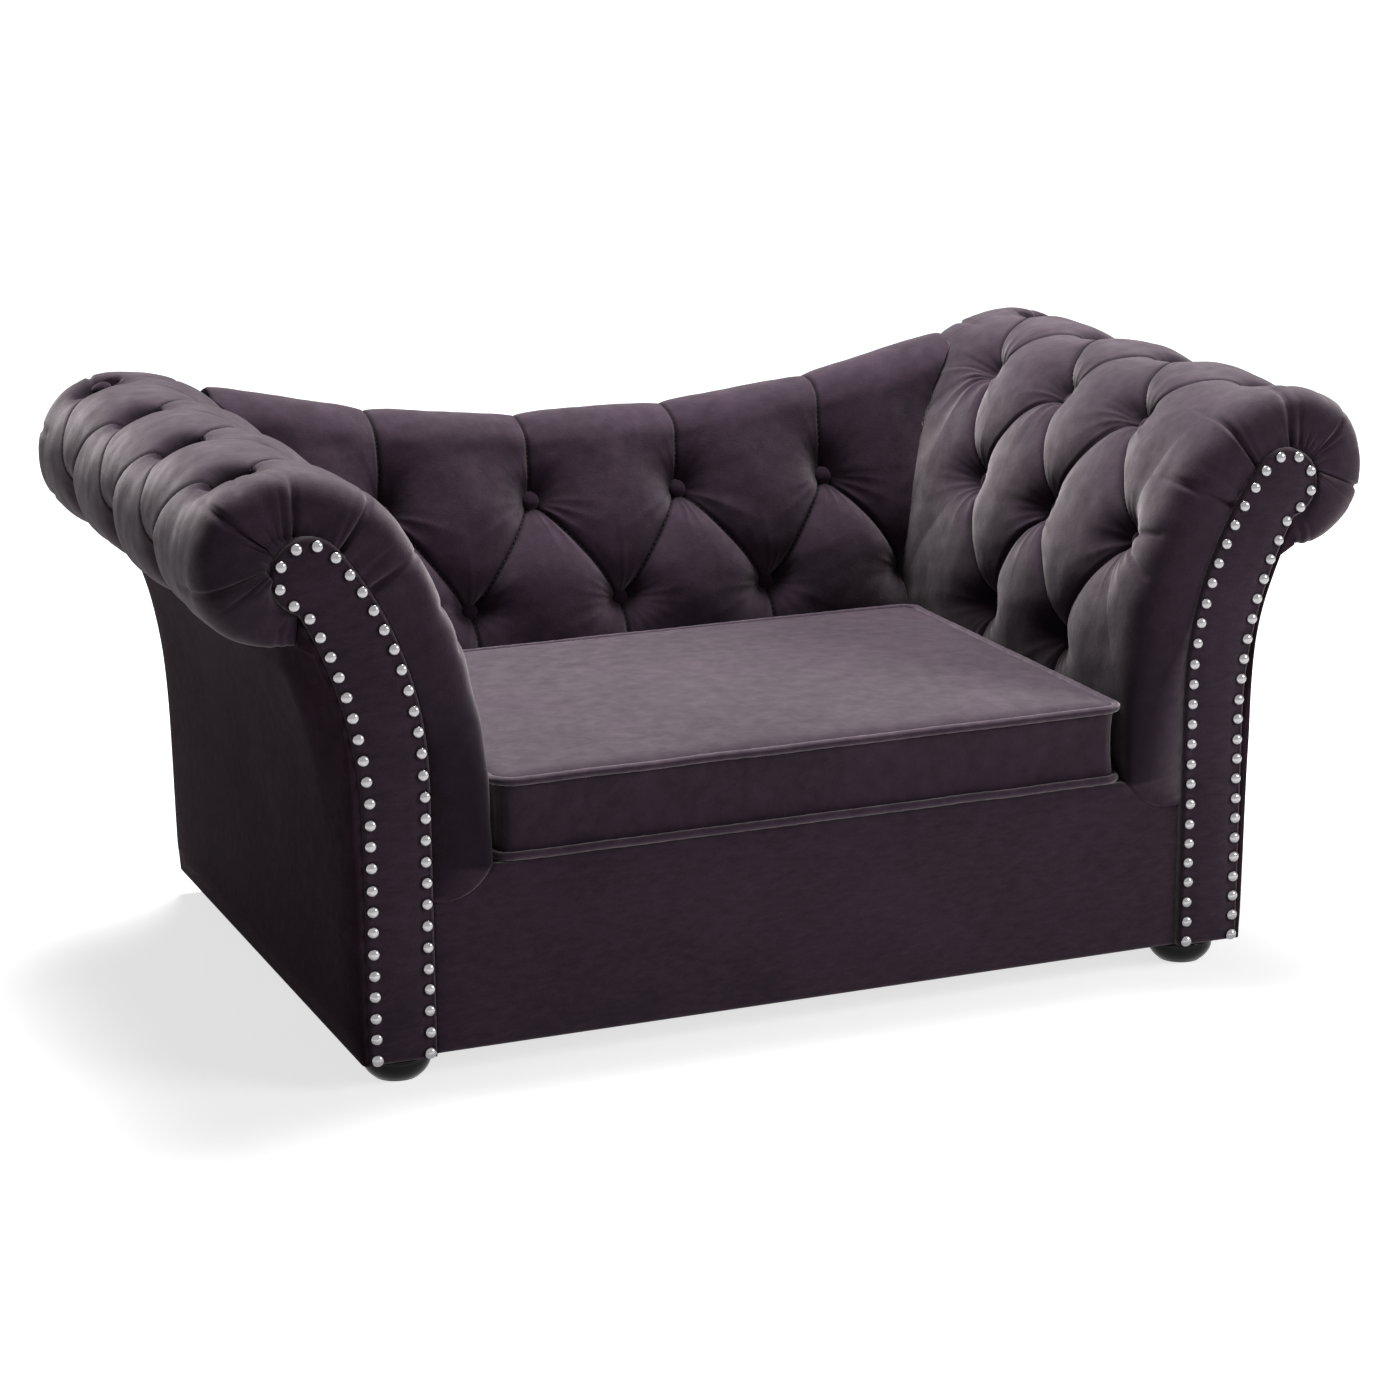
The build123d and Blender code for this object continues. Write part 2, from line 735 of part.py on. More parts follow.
def arm_buttons():
    placed = []
    for (station, knot), dip in arm_dips().items():
        if 1 <= knot <= arm_button_rows:
            y = arm_first_tuft + (station - 1) * arm_tuft_pitch / 2
            seat = at_depth(arm_skin(arm_knots[knot], dip), y)
            out = at_depth(arm_skin(arm_knots[knot], 0), y) - seat
            placed.append(Plane(seat, x_dir=(0, 1, 0), z_dir=out) * covered_button())
    return Compound(children=placed)


def back_buttons():
    placed = []
    for (station, knot), dip in back_dips().items():
        x = back_tuft_pitch / 2 * (station - back_side_stations)
        if knot in (1, 2) and abs(x) < arm_face_x - button_radius:
            seat = back_skin(x, knot, 0, dip)
            rim = back_skin(x, knot, 0, 0)
            out = Vector(0, rim[0] - seat[0], rim[1] - seat[1])
            placed.append(Plane(Vector(x, *seat), x_dir=(1, 0, 0), z_dir=out) * covered_button())
    return Compound(children=placed)


def facing_nails():
    """Nail heads in one row along the facing's edge, up one side, round the tip and down."""
    bottom = foot_height + nail_foot_gap
    path = Wire(inner_run(nail_inset, 0, bottom) + outer_run(nail_inset, 0, bottom))
    count = round(path.length / nail_pitch) + 1
    head = lathe([(nail_radius, 0), (nail_crown_radius, nail_height)], nail_sides)
    seats = [path @ (step / (count - 1)) for step in range(count)]
    return Compound(children=[Plane(seat, x_dir=(1, 0, 0), z_dir=(0, -1, 0)) * head for seat in seats])


# Box cushion
cushion_half_width = arm_face_x - cushion_gap
cushion_rear = back_face_depth - cushion_gap - fit_gap
cushion_bottom = deck_top + fit_gap
low_welt = cushion_bottom + welt_radius
high_welt = cushion_bottom + cushion_thickness - welt_radius
cushion_middle = (cushion_front + cushion_rear) / 2
boxing_middle = (low_welt + high_welt) / 2
welt_seat = 2 * welt_radius + fit_gap
crown_reach = (cushion_rear - cushion_front) / 2


def cushion_outline(inset):
    """The cushion's outline with facets round its corners: point and way out at each corner."""
    corner = max(cushion_corner_radius - inset, cushion_corner_radius / 2)
    half_width = cushion_half_width - inset - corner
    half_depth = (cushion_rear - cushion_front) / 2 - inset - corner
    outline = []
    quarters = [(1, 1), (-1, 1), (-1, -1), (1, -1)]
    for quarter, (side, end) in enumerate(quarters):
        centre = (side * half_width, cushion_middle + end * half_depth)
        for turn in range(corner_facets + 1):
            outline.append(on_circle(centre, corner, 90 * (quarter + turn / corner_facets)))
    return outline


def cushion_ring(inset, height):
    return [Vector(x, y, height) for x, y in cushion_outline(inset)]


def cushion_body(shrink):
    """The cushion's form, all faces drawn in by a shrink: boxing, welt seats and crown."""
    clear = welt_radius + fit_gap
    draw = welt_stand + boxing_draw
    levels = [
        (welt_seat + welt_stand, cushion_bottom + shrink),
        (welt_seat + welt_radius / 2, low_welt + shrink / 2),
        (welt_stand, low_welt + clear),
        (draw, boxing_middle - boxing_band / 2),
        (draw, boxing_middle + boxing_band / 2),
        (welt_stand, high_welt - clear),
        (welt_seat + welt_radius / 2, high_welt - shrink / 2),
        (welt_seat + welt_stand / 2, high_welt + welt_radius - shrink),
    ]
    for inset_share, rise_share in zip(crown_inset_shares, crown_rise_shares):
        rise = high_welt + welt_radius + rise_share * cushion_crown
        levels.append((inset_share * crown_reach, rise - shrink))
    rings = [cushion_ring(inset + shrink, height) for inset, height in levels]
    return faceted_solid(ring_facets(rings) + [rings[0], rings[-1]])


def welt(height):
    """A piped edge: a cord along the cushion's edge, mitred at each bend of the outline."""
    rings = []
    for side in range(welt_sides):
        turn = math.radians(360 * (side + 0.5) / welt_sides)
        inset = welt_radius * (1 - math.cos(turn))
        rings.append(cushion_ring(inset, height + welt_radius * math.sin(turn)))
    return faceted_solid(ring_facets(rings + [rings[0]]))


def zip_strip():
    face = cushion_rear - welt_stand - boxing_draw + fit_gap
    half = zip_length / 2
    tape_top = face + zip_tape_thickness
    tape_low = boxing_middle - zip_tape_width / 2
    tape = block(-half, half, face, tape_top, tape_low, tape_low + zip_tape_width)
    teeth_low = boxing_middle - zip_teeth_width / 2
    teeth = block(-half, half, tape_top, tape_top + zip_teeth_height, teeth_low, teeth_low + zip_teeth_width)
    return tape + teeth


def zip_slider():
    """The slider straddles the teeth, with its pull lying flat along them."""
    tape_top = cushion_rear - welt_stand - boxing_draw + fit_gap + zip_tape_thickness
    teeth_top = tape_top + zip_teeth_height
    left = slider_start - slider_length / 2
    right = slider_start + slider_length / 2
    low = boxing_middle - slider_width / 2
    high = boxing_middle + slider_width / 2
    channel = zip_teeth_width / 2 + fit_gap
    tab_back = teeth_top + fit_gap
    body = block(left, right, tape_top + fit_gap, tab_back + slider_wall, low, high)
    groove = block(left, right, tape_top, tab_back, boxing_middle - channel, boxing_middle + channel)
    pull_low = boxing_middle - pull_width / 2
    tab_front = tab_back + slider_wall / 2
    tab = block(left - pull_length, left, tab_back, tab_front, pull_low, pull_low + pull_width)
    return body - groove + tab


# Feet
def bun_foot():
    """A turned bun foot with a blind hole for its screw, standing on the origin."""
    levels = []
    for height_share, bulge_share in zip(foot_height_shares, foot_bulge_shares):
        radius = foot_bottom_radius + bulge_share * (foot_radius - foot_bottom_radius)
        levels.append((radius, height_share * foot_height))
    hole = screw_rod(screw_radius + fit_gap, foot_height - screw_sink, foot_height)
    return lathe(levels, foot_sides) - hole


def screw_rod(radius, low, high):
    """A faceted rod whose flats lie at the radius."""
    corner = radius / math.cos(math.pi / screw_sides)
    return lathe([(corner, low), (corner, high)], screw_sides)


foot_places = {
    "front_right": (foot_x, foot_inset),
    "front_left": (-foot_x, foot_inset),
    "rear_right": (foot_x, rear - foot_inset),
    "rear_left": (-foot_x, rear - foot_inset),
}


def corner_block(spot):
    """A timber block behind or before a post, bored for the foot's screw."""
    x, y = spot
    side = math.copysign(1, x)
    near = scroll_inner_x + liner_thickness + fit_gap
    far = scroll_outer_x - liner_thickness - fit_gap
    y_from = post_back if y < rear / 2 else rear - cover_thickness - post_thickness - corner_block_depth
    x_from, x_to = sorted((side * near, side * far))
    top = frame_bottom + corner_block_height
    body = block(x_from, x_to, y_from, y_from + corner_block_depth, frame_bottom, top)
    return body - Pos(x, y, 0) * screw_rod(screw_radius + fit_gap, 0, frame_bottom + screw_reach)


def dust_cover():
    """The thin lining under the base, with a hole for each screw."""
    wide = scroll_outer_x - fit_gap
    sheet = block(-wide, wide, facing_thickness, rear - cover_thickness, foot_height, frame_bottom)
    for x, y in foot_places.values():
        sheet = sheet - Pos(x, y, 0) * screw_rod(screw_radius + fit_gap, 0, frame_bottom + screw_reach)
    return sheet


# Frame pieces
inner_board = liner_thickness + fit_gap
rear_post_y = rear - cover_thickness - post_thickness
keep("front_rail", cross_rail(facing_thickness))
keep("back_rail", cross_rail(board_front - rail_thickness))
deck_edge = arm_face_x - fit_gap
keep("seat_deck", block(-deck_edge, deck_edge, facing_thickness, board_front, rail_top, board_top))
cleat_front = facing_thickness + rail_thickness
cleat_rear = board_front - rail_thickness
keep("centre_rail", block(-rail_thickness / 2, rail_thickness / 2, cleat_front, cleat_rear,
                          rail_top - centre_rail_height, rail_top))
keep_pair("deck_cleat", block(deck_edge - rail_thickness, deck_edge, cleat_front, cleat_rear,
                              rail_top - side_rail_height, rail_top))
keep_pair("side_rail", block(scroll_outer_x - inner_board - rail_thickness, scroll_outer_x - inner_board,
                             post_back + corner_block_depth, rear_post_y - corner_block_depth,
                             frame_bottom, frame_bottom + side_rail_height))
keep_pair("front_post", scroll_board(inner_board, facing_thickness, post_thickness, frame_bottom))
keep_pair("back_post", scroll_board(inner_board, rear_post_y, post_thickness, frame_bottom))
rib_y = (facing_thickness + rear_post_y) / 2
keep_pair("arm_rib", scroll_board(inner_board, rib_y, post_thickness, frame_bottom + side_rail_height))
keep_pair("arm_liner", arm_liner())
keep_pair("side_board", side_board())
keep("back_board", back_zone(board_front, board_thickness, 0))
for corner, spot in foot_places.items():
    keep(corner + "_corner_block", corner_block(spot))

# Upholstery
facing = scroll_board(0, 0, facing_thickness, foot_height)
facing_rim = facing.faces().sort_by(Axis.Y)[0].edges()
keep_pair("facing", chamfer(facing_rim, facing_edge_chamfer))
keep_pair("facing_nails", facing_nails())
keep_pair("arm_pad", arm_pad())
keep_pair("arm_buttons", arm_buttons())
keep_pair("side_panel", side_panel())
keep("back_pad", back_pad())
keep("back_buttons", back_buttons())
keep("rear_panel", rear_panel())
keep("front_cover", front_cover())
keep("deck_cloth", block(-deck_edge, deck_edge, facing_thickness, back_face_depth - cushion_gap,
                         board_top, deck_top))
keep("dust_cover", dust_cover())

# Cushion
keep("cushion_cover", cushion_body(0) - cushion_body(cushion_cover_thickness))
keep("cushion_foam", cushion_body(cushion_cover_thickness + fit_gap))
keep("cushion_top_welt", welt(high_welt))
keep("cushion_bottom_welt", welt(low_welt))
keep("cushion_zip", zip_strip())
keep("zip_slider", zip_slider())

# Feet
for corner, spot in foot_places.items():
    keep(corner + "_foot", Pos(spot[0], spot[1], 0) * bun_foot())
screw_low = foot_height - screw_sink + fit_gap
screw_high = frame_bottom + screw_reach - fit_gap
screws = [Pos(x, y, 0) * screw_rod(screw_radius, screw_low, screw_high) for x, y in foot_places.values()]
keep("foot_screws", Compound(children=screws))

os.makedirs("parts", exist_ok=True)
for name, shape in solids.items():
    export_step(shape, f"parts/{name}.step")
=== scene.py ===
import math

import bmesh
import bpy
import numpy as np
from mathutils import Matrix, Vector
from mathutils.geometry import delaunay_2d_cdt


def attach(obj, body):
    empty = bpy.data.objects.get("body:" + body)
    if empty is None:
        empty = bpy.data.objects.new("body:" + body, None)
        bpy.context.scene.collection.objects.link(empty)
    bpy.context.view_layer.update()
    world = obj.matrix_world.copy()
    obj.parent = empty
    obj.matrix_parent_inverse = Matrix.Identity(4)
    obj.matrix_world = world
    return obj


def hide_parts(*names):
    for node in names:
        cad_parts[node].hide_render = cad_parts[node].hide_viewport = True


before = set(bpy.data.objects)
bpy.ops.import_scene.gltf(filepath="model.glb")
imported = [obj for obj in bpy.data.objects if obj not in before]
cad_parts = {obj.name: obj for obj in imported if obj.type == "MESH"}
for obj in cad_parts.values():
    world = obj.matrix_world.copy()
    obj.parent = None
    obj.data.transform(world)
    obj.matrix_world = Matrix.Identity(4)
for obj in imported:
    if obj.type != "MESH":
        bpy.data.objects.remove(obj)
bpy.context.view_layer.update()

# Sizes shared with the part's source
OVERALL_WIDTH = 1040.0
OVERALL_HEIGHT = 510.0
REAR = 580.4
FRONT_Y = -288.4
FOOT_HEIGHT = 24.0
DECK_TOP = 178.0
FIT_GAP = 0.3
SCROLL_OUTER_X = 398.0
SCROLL_INNER_X = 341.0
TIP_RADIUS = 31.0
INNER_RADIUS = 313.0
INNER_HEIGHT = 252.0
OUTER_RADIUS = 362.0
OUTER_HEIGHT = 224.0
PAD_THICKNESS = 53.0
ROLL_RADIUS = 68.0
ROLL_END = -95.0
PAD_SETBACK = 4.0
PAD_REAR = 574.1
END_DEPTH = 44.0
END_DRAW = 51.0
LOW_END_SHARE = 0.2
NOTCH_END_SHARE = 0.14
LOW_END_GROWTH = 165.0
NOTCH_END_GROWTH = 62.0
PAD_DROP = 25.0
TUFT_DEPTH = 36.0
TUFT_PITCH = 140.0
FIRST_TUFT = 95.0
ROW_PITCH = 113.0
FIRST_ROW = 93.0
STATIONS = 7
ROW_SHARES = [1.0, 1.0, 1.0, 0.8, 0.35]
LAST_SHARE = 0.5
BACK_FACE = 427.0
BACK_CREST_DEPTH = 535.0
BACK_CREST_HEIGHT = 440.5
BACK_ROLL = 45.0
BACK_TOP_RADIUS = 1395.0
BACK_LOW_ROW = 280.0
BACK_HIGH_ROW = 375.0
BACK_PITCH = 148.0
BACK_LOW_DIP = 34.0
BACK_HIGH_DIP = 26.0
PLEAT_DEPTH = 6.0
BACK_SIDE_STATIONS = 5
BACK_BEND = 50.0
BOARD_FRONT = 562.4
NAIL_RADIUS = 5.15
NAIL_HEIGHT = 3.6
NAIL_PITCH = 17.8
NAIL_INSET = 6.0
CUSHION_FRONT = 5.0
CUSHION_REAR = 425.7
CUSHION_HALF = 287.0
CUSHION_BOTTOM = 178.3
CUSHION_THICKNESS = 69.0
CUSHION_CROWN = 6.0
WELT_RADIUS = 3.25
FOOT_X = 364.0
FOOT_INSET = 40.0

# What follows from them
INNER_CENTRE = (SCROLL_INNER_X + INNER_RADIUS, INNER_HEIGHT)
OUTER_CENTRE = (SCROLL_OUTER_X + OUTER_RADIUS, OUTER_HEIGHT)
TIP_HEIGHT = OVERALL_HEIGHT - 51.0 - TIP_RADIUS
TIP_REACH = INNER_RADIUS - TIP_RADIUS
TIP_RISE = TIP_HEIGHT - INNER_HEIGHT
TIP_CENTRE = (INNER_CENTRE[0] - math.sqrt(TIP_REACH**2 - TIP_RISE**2), TIP_HEIGHT)
TIP_JOIN = 180 - math.degrees(math.asin(TIP_RISE / TIP_REACH))
ARM_FACE_X = SCROLL_INNER_X - PAD_THICKNESS
FACE_RADIUS = INNER_RADIUS + PAD_THICKNESS
ROLL_CENTRE = (OVERALL_WIDTH / 2 - ROLL_RADIUS, OVERALL_HEIGHT - ROLL_RADIUS)
ROLL_RUN = INNER_CENTRE[0] - ROLL_CENTRE[0]
ROLL_RISE = OVERALL_HEIGHT - INNER_HEIGHT
SHOULDER_RADIUS = (FACE_RADIUS**2 - ROLL_RUN**2 - ROLL_RISE**2) / (2 * (FACE_RADIUS - ROLL_RISE))
SHOULDER_CENTRE = (ROLL_CENTRE[0], OVERALL_HEIGHT - SHOULDER_RADIUS)
SHOULDER_ANGLE = math.degrees(math.atan2(SHOULDER_CENTRE[1] - INNER_CENTRE[1],
                                         SHOULDER_CENTRE[0] - INNER_CENTRE[0]))
STRAIGHT = INNER_HEIGHT - DECK_TOP
SWEEP = FACE_RADIUS * math.radians(180 - SHOULDER_ANGLE)
SHOULDER = SHOULDER_RADIUS * math.radians(SHOULDER_ANGLE - 90)
SKIN_LENGTH = STRAIGHT + SWEEP + SHOULDER + ROLL_RADIUS * math.radians(90 - ROLL_END)
CUSHION_MIDDLE = (CUSHION_FRONT + CUSHION_REAR) / 2
CUSHION_HALF_DEPTH = (CUSHION_REAR - CUSHION_FRONT) / 2
LOW_WELT = CUSHION_BOTTOM + WELT_RADIUS
HIGH_WELT = CUSHION_BOTTOM + CUSHION_THICKNESS - WELT_RADIUS

# Fineness of the pads' meshes: points in a tufting cell, and in the rounding of a pad's end
PER_CELL = 40
END_STEPS = 28
END_POWER = 0.58

# Tufting: how the depth is shared between the puffs, the cups at the buttons and the wells round them
PUFF_POWER = 1.8
PUFF_SHARE = 0.27
BACK_PUFF_SHARE = 0.40
DIMPLE_SHARE = 0.42
WELL_SHARE = 0.22
DIMPLE_LONG = 19.0
DIMPLE_WIDE = 12.5
WHOLE_DIP = 10
# Widths and depths of soft hollows, and widths and depths at both ends of narrow grooves
ARM_VALLEY, ARM_FOOT_VALLEY = (11.0, 3.4), (11.0, 0.8 * 3.4)
FRONT_VALLEY, LOW_VALLEY = (8.0, 1.6), (9.0, 1.5)
BACK_VALLEY, BACK_TOP_VALLEY, BACK_FOOT_VALLEY = (12.0, 4.5), (10.0, 1.6), (10.0, 2.6)
ARM_GROOVE, ARM_FOOT_GROOVE = (2.3, 2.6, 2.6), (2.3, 2.6, 1.6)
FRONT_GROOVE, FAN_GROOVE = (2.6, 2.6, 1.2), (2.8, 2.8, 0.2)
SLIT_GROOVE, LOW_GROOVE = (4.2, 4.5, 4.5), (2.4, 3.2, 1.6)
PLEAT_WIDTH, PLEAT_START, SIDE_PLEAT = 2.8, 0.8, (2.2, 0.1, 2.6)
BACK_GROOVE, BACK_TOP_GROOVE, BACK_FOOT_GROOVE = (2.3, 2.8, 2.8), (1.9, 2.8, 1.8), (2.2, 2.6, 1.6)
FRONT_COLUMN_SHIFT = 9
BUTTON_ROWS = range(1, 5)
STITCH_STEP = 5.0
STITCH_HALF = 1.75
STITCH_RADIUS = 0.42
STITCH_CLEAR = 13.0
# Angles about the scroll's tip at which pleats run into the facing and into the rear cover
PLEAT_ANGLES = [172.8, 136.0, 89.0, 36.0, -7.0, -61.0]
REAR_PLEAT_ANGLES = [160.0, 118.0, 66.0, 20.0, -25.0, -68.0]

# Cushion, as it looks: smaller corners than the solid's, and the seam beside the piping
CUSHION_CORNER = 20.0
SEAM_INSET = 4.4
BOX_SPACING, PIPING_SPACING, PIPING_SIDES = 7.0, 4.0, 14
ZIP_HALF, ZIP_TEETH = 200, 198
DECK_HALF, DECK_FRONT, DECK_REAR, DECK_TUCK = 287.6, 12, 425.8, 434
DUST_HALF, DUST_FRONT, DUST_REAR, DUST_LOW = 397.6, 12.2, 574.2, 24.35

# Turned shapes, from the middle outwards: radius and height; a button also has its share of the pucker
BUTTON_PROFILE = [(0.02, 12.9, 0), (2.6, 12.7, 0), (5.0, 12.0, 0), (7.0, 10.8, 0), (8.4, 9.2, 0.3),
                  (9.0, 7.6, 0.7), (8.7, 6.2, 1), (7.2, 5.0, 1), (4.0, 4.2, 1), (1.6, 3.6, 0),
                  (1.5, 0.6, 0), (0.02, 0.5, 0)]
BUTTON_SINK = 2.5
BUTTON_TILT = 0.10
NAIL_PROFILE = [(0.02, 1.0), (0.3, 0.985), (0.55, 0.88), (0.76, 0.68), (0.9, 0.42), (0.975, 0.2),
                (1.0, 0.06), (0.985, 0.0), (0.6, 0.0), (0.02, 0.0)]
NAIL_TILT, NAIL_STRAY = 0.05, 0.25
FOOT_PROFILE = [(0.02, 0), (17.6, 0), (19.4, 0.4), (20.6, 1.6), (23.6, 4.4), (26.2, 8), (27.8, 11.6),
                (28.4, 15), (28.0, 18.2), (26.6, 21), (24.8, 22.8), (23.0, 23.6), (21.5, 23.9), (0.02, 23.9)]

VELVET_DARK = (0.0150, 0.0065, 0.0142)
VELVET_LIGHT = (0.0325, 0.0155, 0.0305)
# Base colours of the shaded copy of the velvet on the outer sides and rear, which has no sheen
SIDE_DARK, SIDE_LIGHT = (0.0172, 0.0098, 0.0150), (0.0360, 0.0210, 0.0315)
SHEEN = 0.50
SHEEN_ROUGHNESS = 0.50
SHEEN_TINT = (0.84, 0.77, 0.79)

FLOOR_COLOUR = 0.55
FLOOR_GLOW = 0.72
FLOOR_HALF = 30
FADE_NEAR, FADE_FAR = 0.9, 2.4
AMBIENT = 0.055
# Name, place, aim, size and power of each softbox
SOFTBOXES = [("top_softbox", (0.28, 0.55, 2.5), (0.0, 0.05, 0.2), (1.4, 1.1), 146),
             ("front_right_softbox", (2.2, -2.2, 1.6), (0.1, 0, 0.3), (1.4, 1.4), 52)]
CAMERA_TURNS = (22.490, 14.854, -0.423)
CAMERA_PLACE = (-1.1806, -2.8715, 1.0378)
CAMERA_LENS = 92.01


# Helpers
def ripple(u, v, size, seed, terms=5):
    """A smooth, repeatable unevenness from -1 to 1 over two arrays, with waves of about a size."""
    rng = np.random.default_rng(seed)
    total = np.zeros(np.broadcast(u, v).shape)
    for _ in range(terms):
        turn = rng.uniform(0, 2 * math.pi)
        pace = 2 * math.pi / (size * rng.uniform(0.7, 1.6))
        place = (u * math.cos(turn) + v * math.sin(turn)) * pace
        total = total + np.sin(place + rng.uniform(0, 2 * math.pi))
    return total / terms


def ripples(u, v, *waves):
    """A sum of ripples, each a height, a size and a seed."""
    return sum(height * ripple(u, v, size, seed) for height, size, seed in waves)


def xyz(x, y, z):
    """Points from their coordinates, each an array or a number."""
    return np.stack(np.broadcast_arrays(x, y, z), axis=-1)


def smooth_step(x):
    x = np.clip(x, 0, 1)
    return x * x * (3 - 2 * x)


def edge_fade(x, width):
    """Nought at nought, rising straight to one at a width."""
    return np.clip(x / width, 0, 1)


def word_of(side):
    return "right" if side > 0 else "left"


def new_piece(name, points, faces, smooth=True, seam=None):
    """A mesh piece from points in millimetres of drawing depth, with painted shade on the points in folds and hollows
    if given.
    """
    co = np.asarray(points, float).reshape(-1, 3).copy()
    co[:, 1] += FRONT_Y
    co /= 1000
    mesh = bpy.data.meshes.new(name)
    mesh.from_pydata(co.tolist(), [], [list(map(int, f)) for f in faces])
    mesh.update()
    if seam is not None:
        # painted shade, kept on the points for the velvet to darken
        dark = mesh.attributes.new("seam", "FLOAT", "POINT")
        dark.data.foreach_set("value", np.asarray(seam, float).ravel())
    work = bmesh.new()
    work.from_mesh(mesh)
    bmesh.ops.remove_doubles(work, verts=work.verts, dist=2e-6)
    bmesh.ops.dissolve_degenerate(work, edges=work.edges, dist=1e-6)
    bmesh.ops.recalc_face_normals(work, faces=work.faces)
    work.to_mesh(mesh)
    work.free()
    if smooth:
        mesh.polygons.foreach_set("use_smooth", [True] * len(mesh.polygons))
    piece = bpy.data.objects.new(name, mesh)
    bpy.context.scene.collection.objects.link(piece)
    return piece


def joined_piece(name, shapes, smooth=True):
    """One mesh piece from many shapes, each its own points and faces."""
    points, faces = [], []
    for shape, sides in shapes:
        start = len(points)
        points += list(shape)
        faces += [tuple(start + v for v in face) for face in sides]
    return new_piece(name, points, faces, smooth)


def settle(piece, body, slot, material, *nodes, fill=None):
    """Give a piece its material and body, and hide the CAD nodes that it stands for; slot is not used."""
    piece.data.materials.clear()
    piece.data.materials.append(material)
    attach(piece, body)
    if nodes:
        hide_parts(*nodes)
    return piece


def grid_faces(rows, columns, rising=None, offset=0, wrap=False):
    """Faces over a grid of points; where a fold crosses a quad, two triangles along the fold."""
    faces = []
    for i in range(rows - 1):
        for j in range(columns if wrap else columns - 1):
            a = offset + i * columns + j
            d = offset + i * columns + (j + 1) % columns
            b, c = a + columns, d + columns
            lean = 0 if rising is None else rising[i][j]
            if lean > 0:
                faces += [(a, b, c), (a, c, d)]
            elif lean < 0:
                faces += [(a, b, d), (b, c, d)]
            else:
                faces.append((a, b, c, d))
    return faces


def closed_sheet(name, top, low):
    """A thin closed sheet from two grids of points."""
    n, m = top.shape[:2]
    o = n * m
    faces = grid_faces(n, m) + grid_faces(n, m, offset=o)
    rims = [(i * m + j, (i + 1) * m + j) for i in range(n - 1) for j in (0, m - 1)]
    rims += [(i * m + j, i * m + j + 1) for j in range(m - 1) for i in (0, n - 1)]
    faces += [(a, b, o + b, o + a) for a, b in rims]
    return new_piece(name, np.concatenate([top.reshape(-1, 3), low.reshape(-1, 3)]), faces)


def grid_normals(points):
    """Unit normals of a grid of points."""
    normal = np.cross(np.gradient(points, axis=0), np.gradient(points, axis=1))
    return normal / np.maximum(np.linalg.norm(normal, axis=2, keepdims=True), 1e-9)


def circle_point(centre, radius, angle):
    turn = np.radians(angle)
    return centre[0] + radius * np.cos(turn), centre[1] + radius * np.sin(turn)


def even_points(points, count):
    """A line of points taken again at even steps."""
    points = np.array(points, float)
    along = np.concatenate([[0], np.cumsum(np.linalg.norm(np.diff(points, axis=0), axis=1))])
    wanted = np.linspace(0, along[-1], count)
    return np.stack([np.interp(wanted, along, points[:, k]) for k in (0, 1)], axis=1)


def smooth_line(control, count):
    """A smooth line through control points."""
    control = np.array(control, float)
    padded = np.concatenate([[2 * control[0] - control[1]], control, [2 * control[-1] - control[-2]]])
    points = []
    spans = len(control) - 1
    for k in range(spans):
        p0, p1, p2, p3 = padded[k:k + 4]
        for t in np.linspace(0, 1, max(2, count // spans), endpoint=False):
            points.append(0.5 * (2 * p1 + (p2 - p0) * t + (2 * p0 - 5 * p1 + 4 * p2 - p3) * t**2
                                 + (3 * p1 - p0 - 3 * p2 + p3) * t**3))
    points.append(control[-1])
    return np.array(points)


def draped(low, high, shares):
    """X and Z along a slack line that hangs between a low point and one or more high ones."""
    low, high = np.asarray(low, float), np.asarray(high, float)
    slack = 0.16 * np.hypot(low[0] - high[..., 0], low[1] - high[..., 1])
    bend = (low + high) / 2 - slack[..., None] * np.array([1.0, 2.0])
    t = shares[:, None]
    return (1 - t) ** 2 * low + 2 * t * (1 - t) * bend[..., None, :] + t * t * high[..., None, :]


# Profiles of the arm and of its scroll
def arm_skin(run, inset):
    """X and Z of the arm's skin at a run from the deck, sunk by an inset; arrays."""
    run = np.asarray(run, float)
    r1 = run - STRAIGHT
    r2 = r1 - SWEEP
    r3 = r2 - SHOULDER
    flat = (ARM_FACE_X + inset, DECK_TOP + run)
    sweep, shoulder, roll = (
        circle_point(centre, radius - inset, start - np.degrees(past / radius))
        for centre, radius, start, past in ((INNER_CENTRE, FACE_RADIUS, 180, r1),
                                            (SHOULDER_CENTRE, SHOULDER_RADIUS, SHOULDER_ANGLE, r2),
                                            (ROLL_CENTRE, ROLL_RADIUS, 90, r3)))
    return tuple(np.where(r1 <= 0, flat[k], np.where(r2 <= 0, sweep[k], np.where(r3 <= 0, shoulder[k], roll[k])))
                 for k in (0, 1))


def scroll_corner(inset):
    """The notch where the outer sweep meets the tip of the inset scroll."""
    tip = TIP_RADIUS - inset
    across = (OUTER_CENTRE[0] - TIP_CENTRE[0], OUTER_CENTRE[1] - TIP_CENTRE[1])
    gap = math.hypot(*across)
    along = (tip**2 - (OUTER_RADIUS + inset) ** 2 + gap**2) / (2 * gap)
    aside = math.sqrt(max(tip**2 - along**2, 0))
    ux, uz = across[0] / gap, across[1] / gap
    return TIP_CENTRE[0] + ux * along + uz * aside, TIP_CENTRE[1] + uz * along - ux * aside


def angle_about(centre, point):
    return math.degrees(math.atan2(point[1] - centre[1], point[0] - centre[0]))


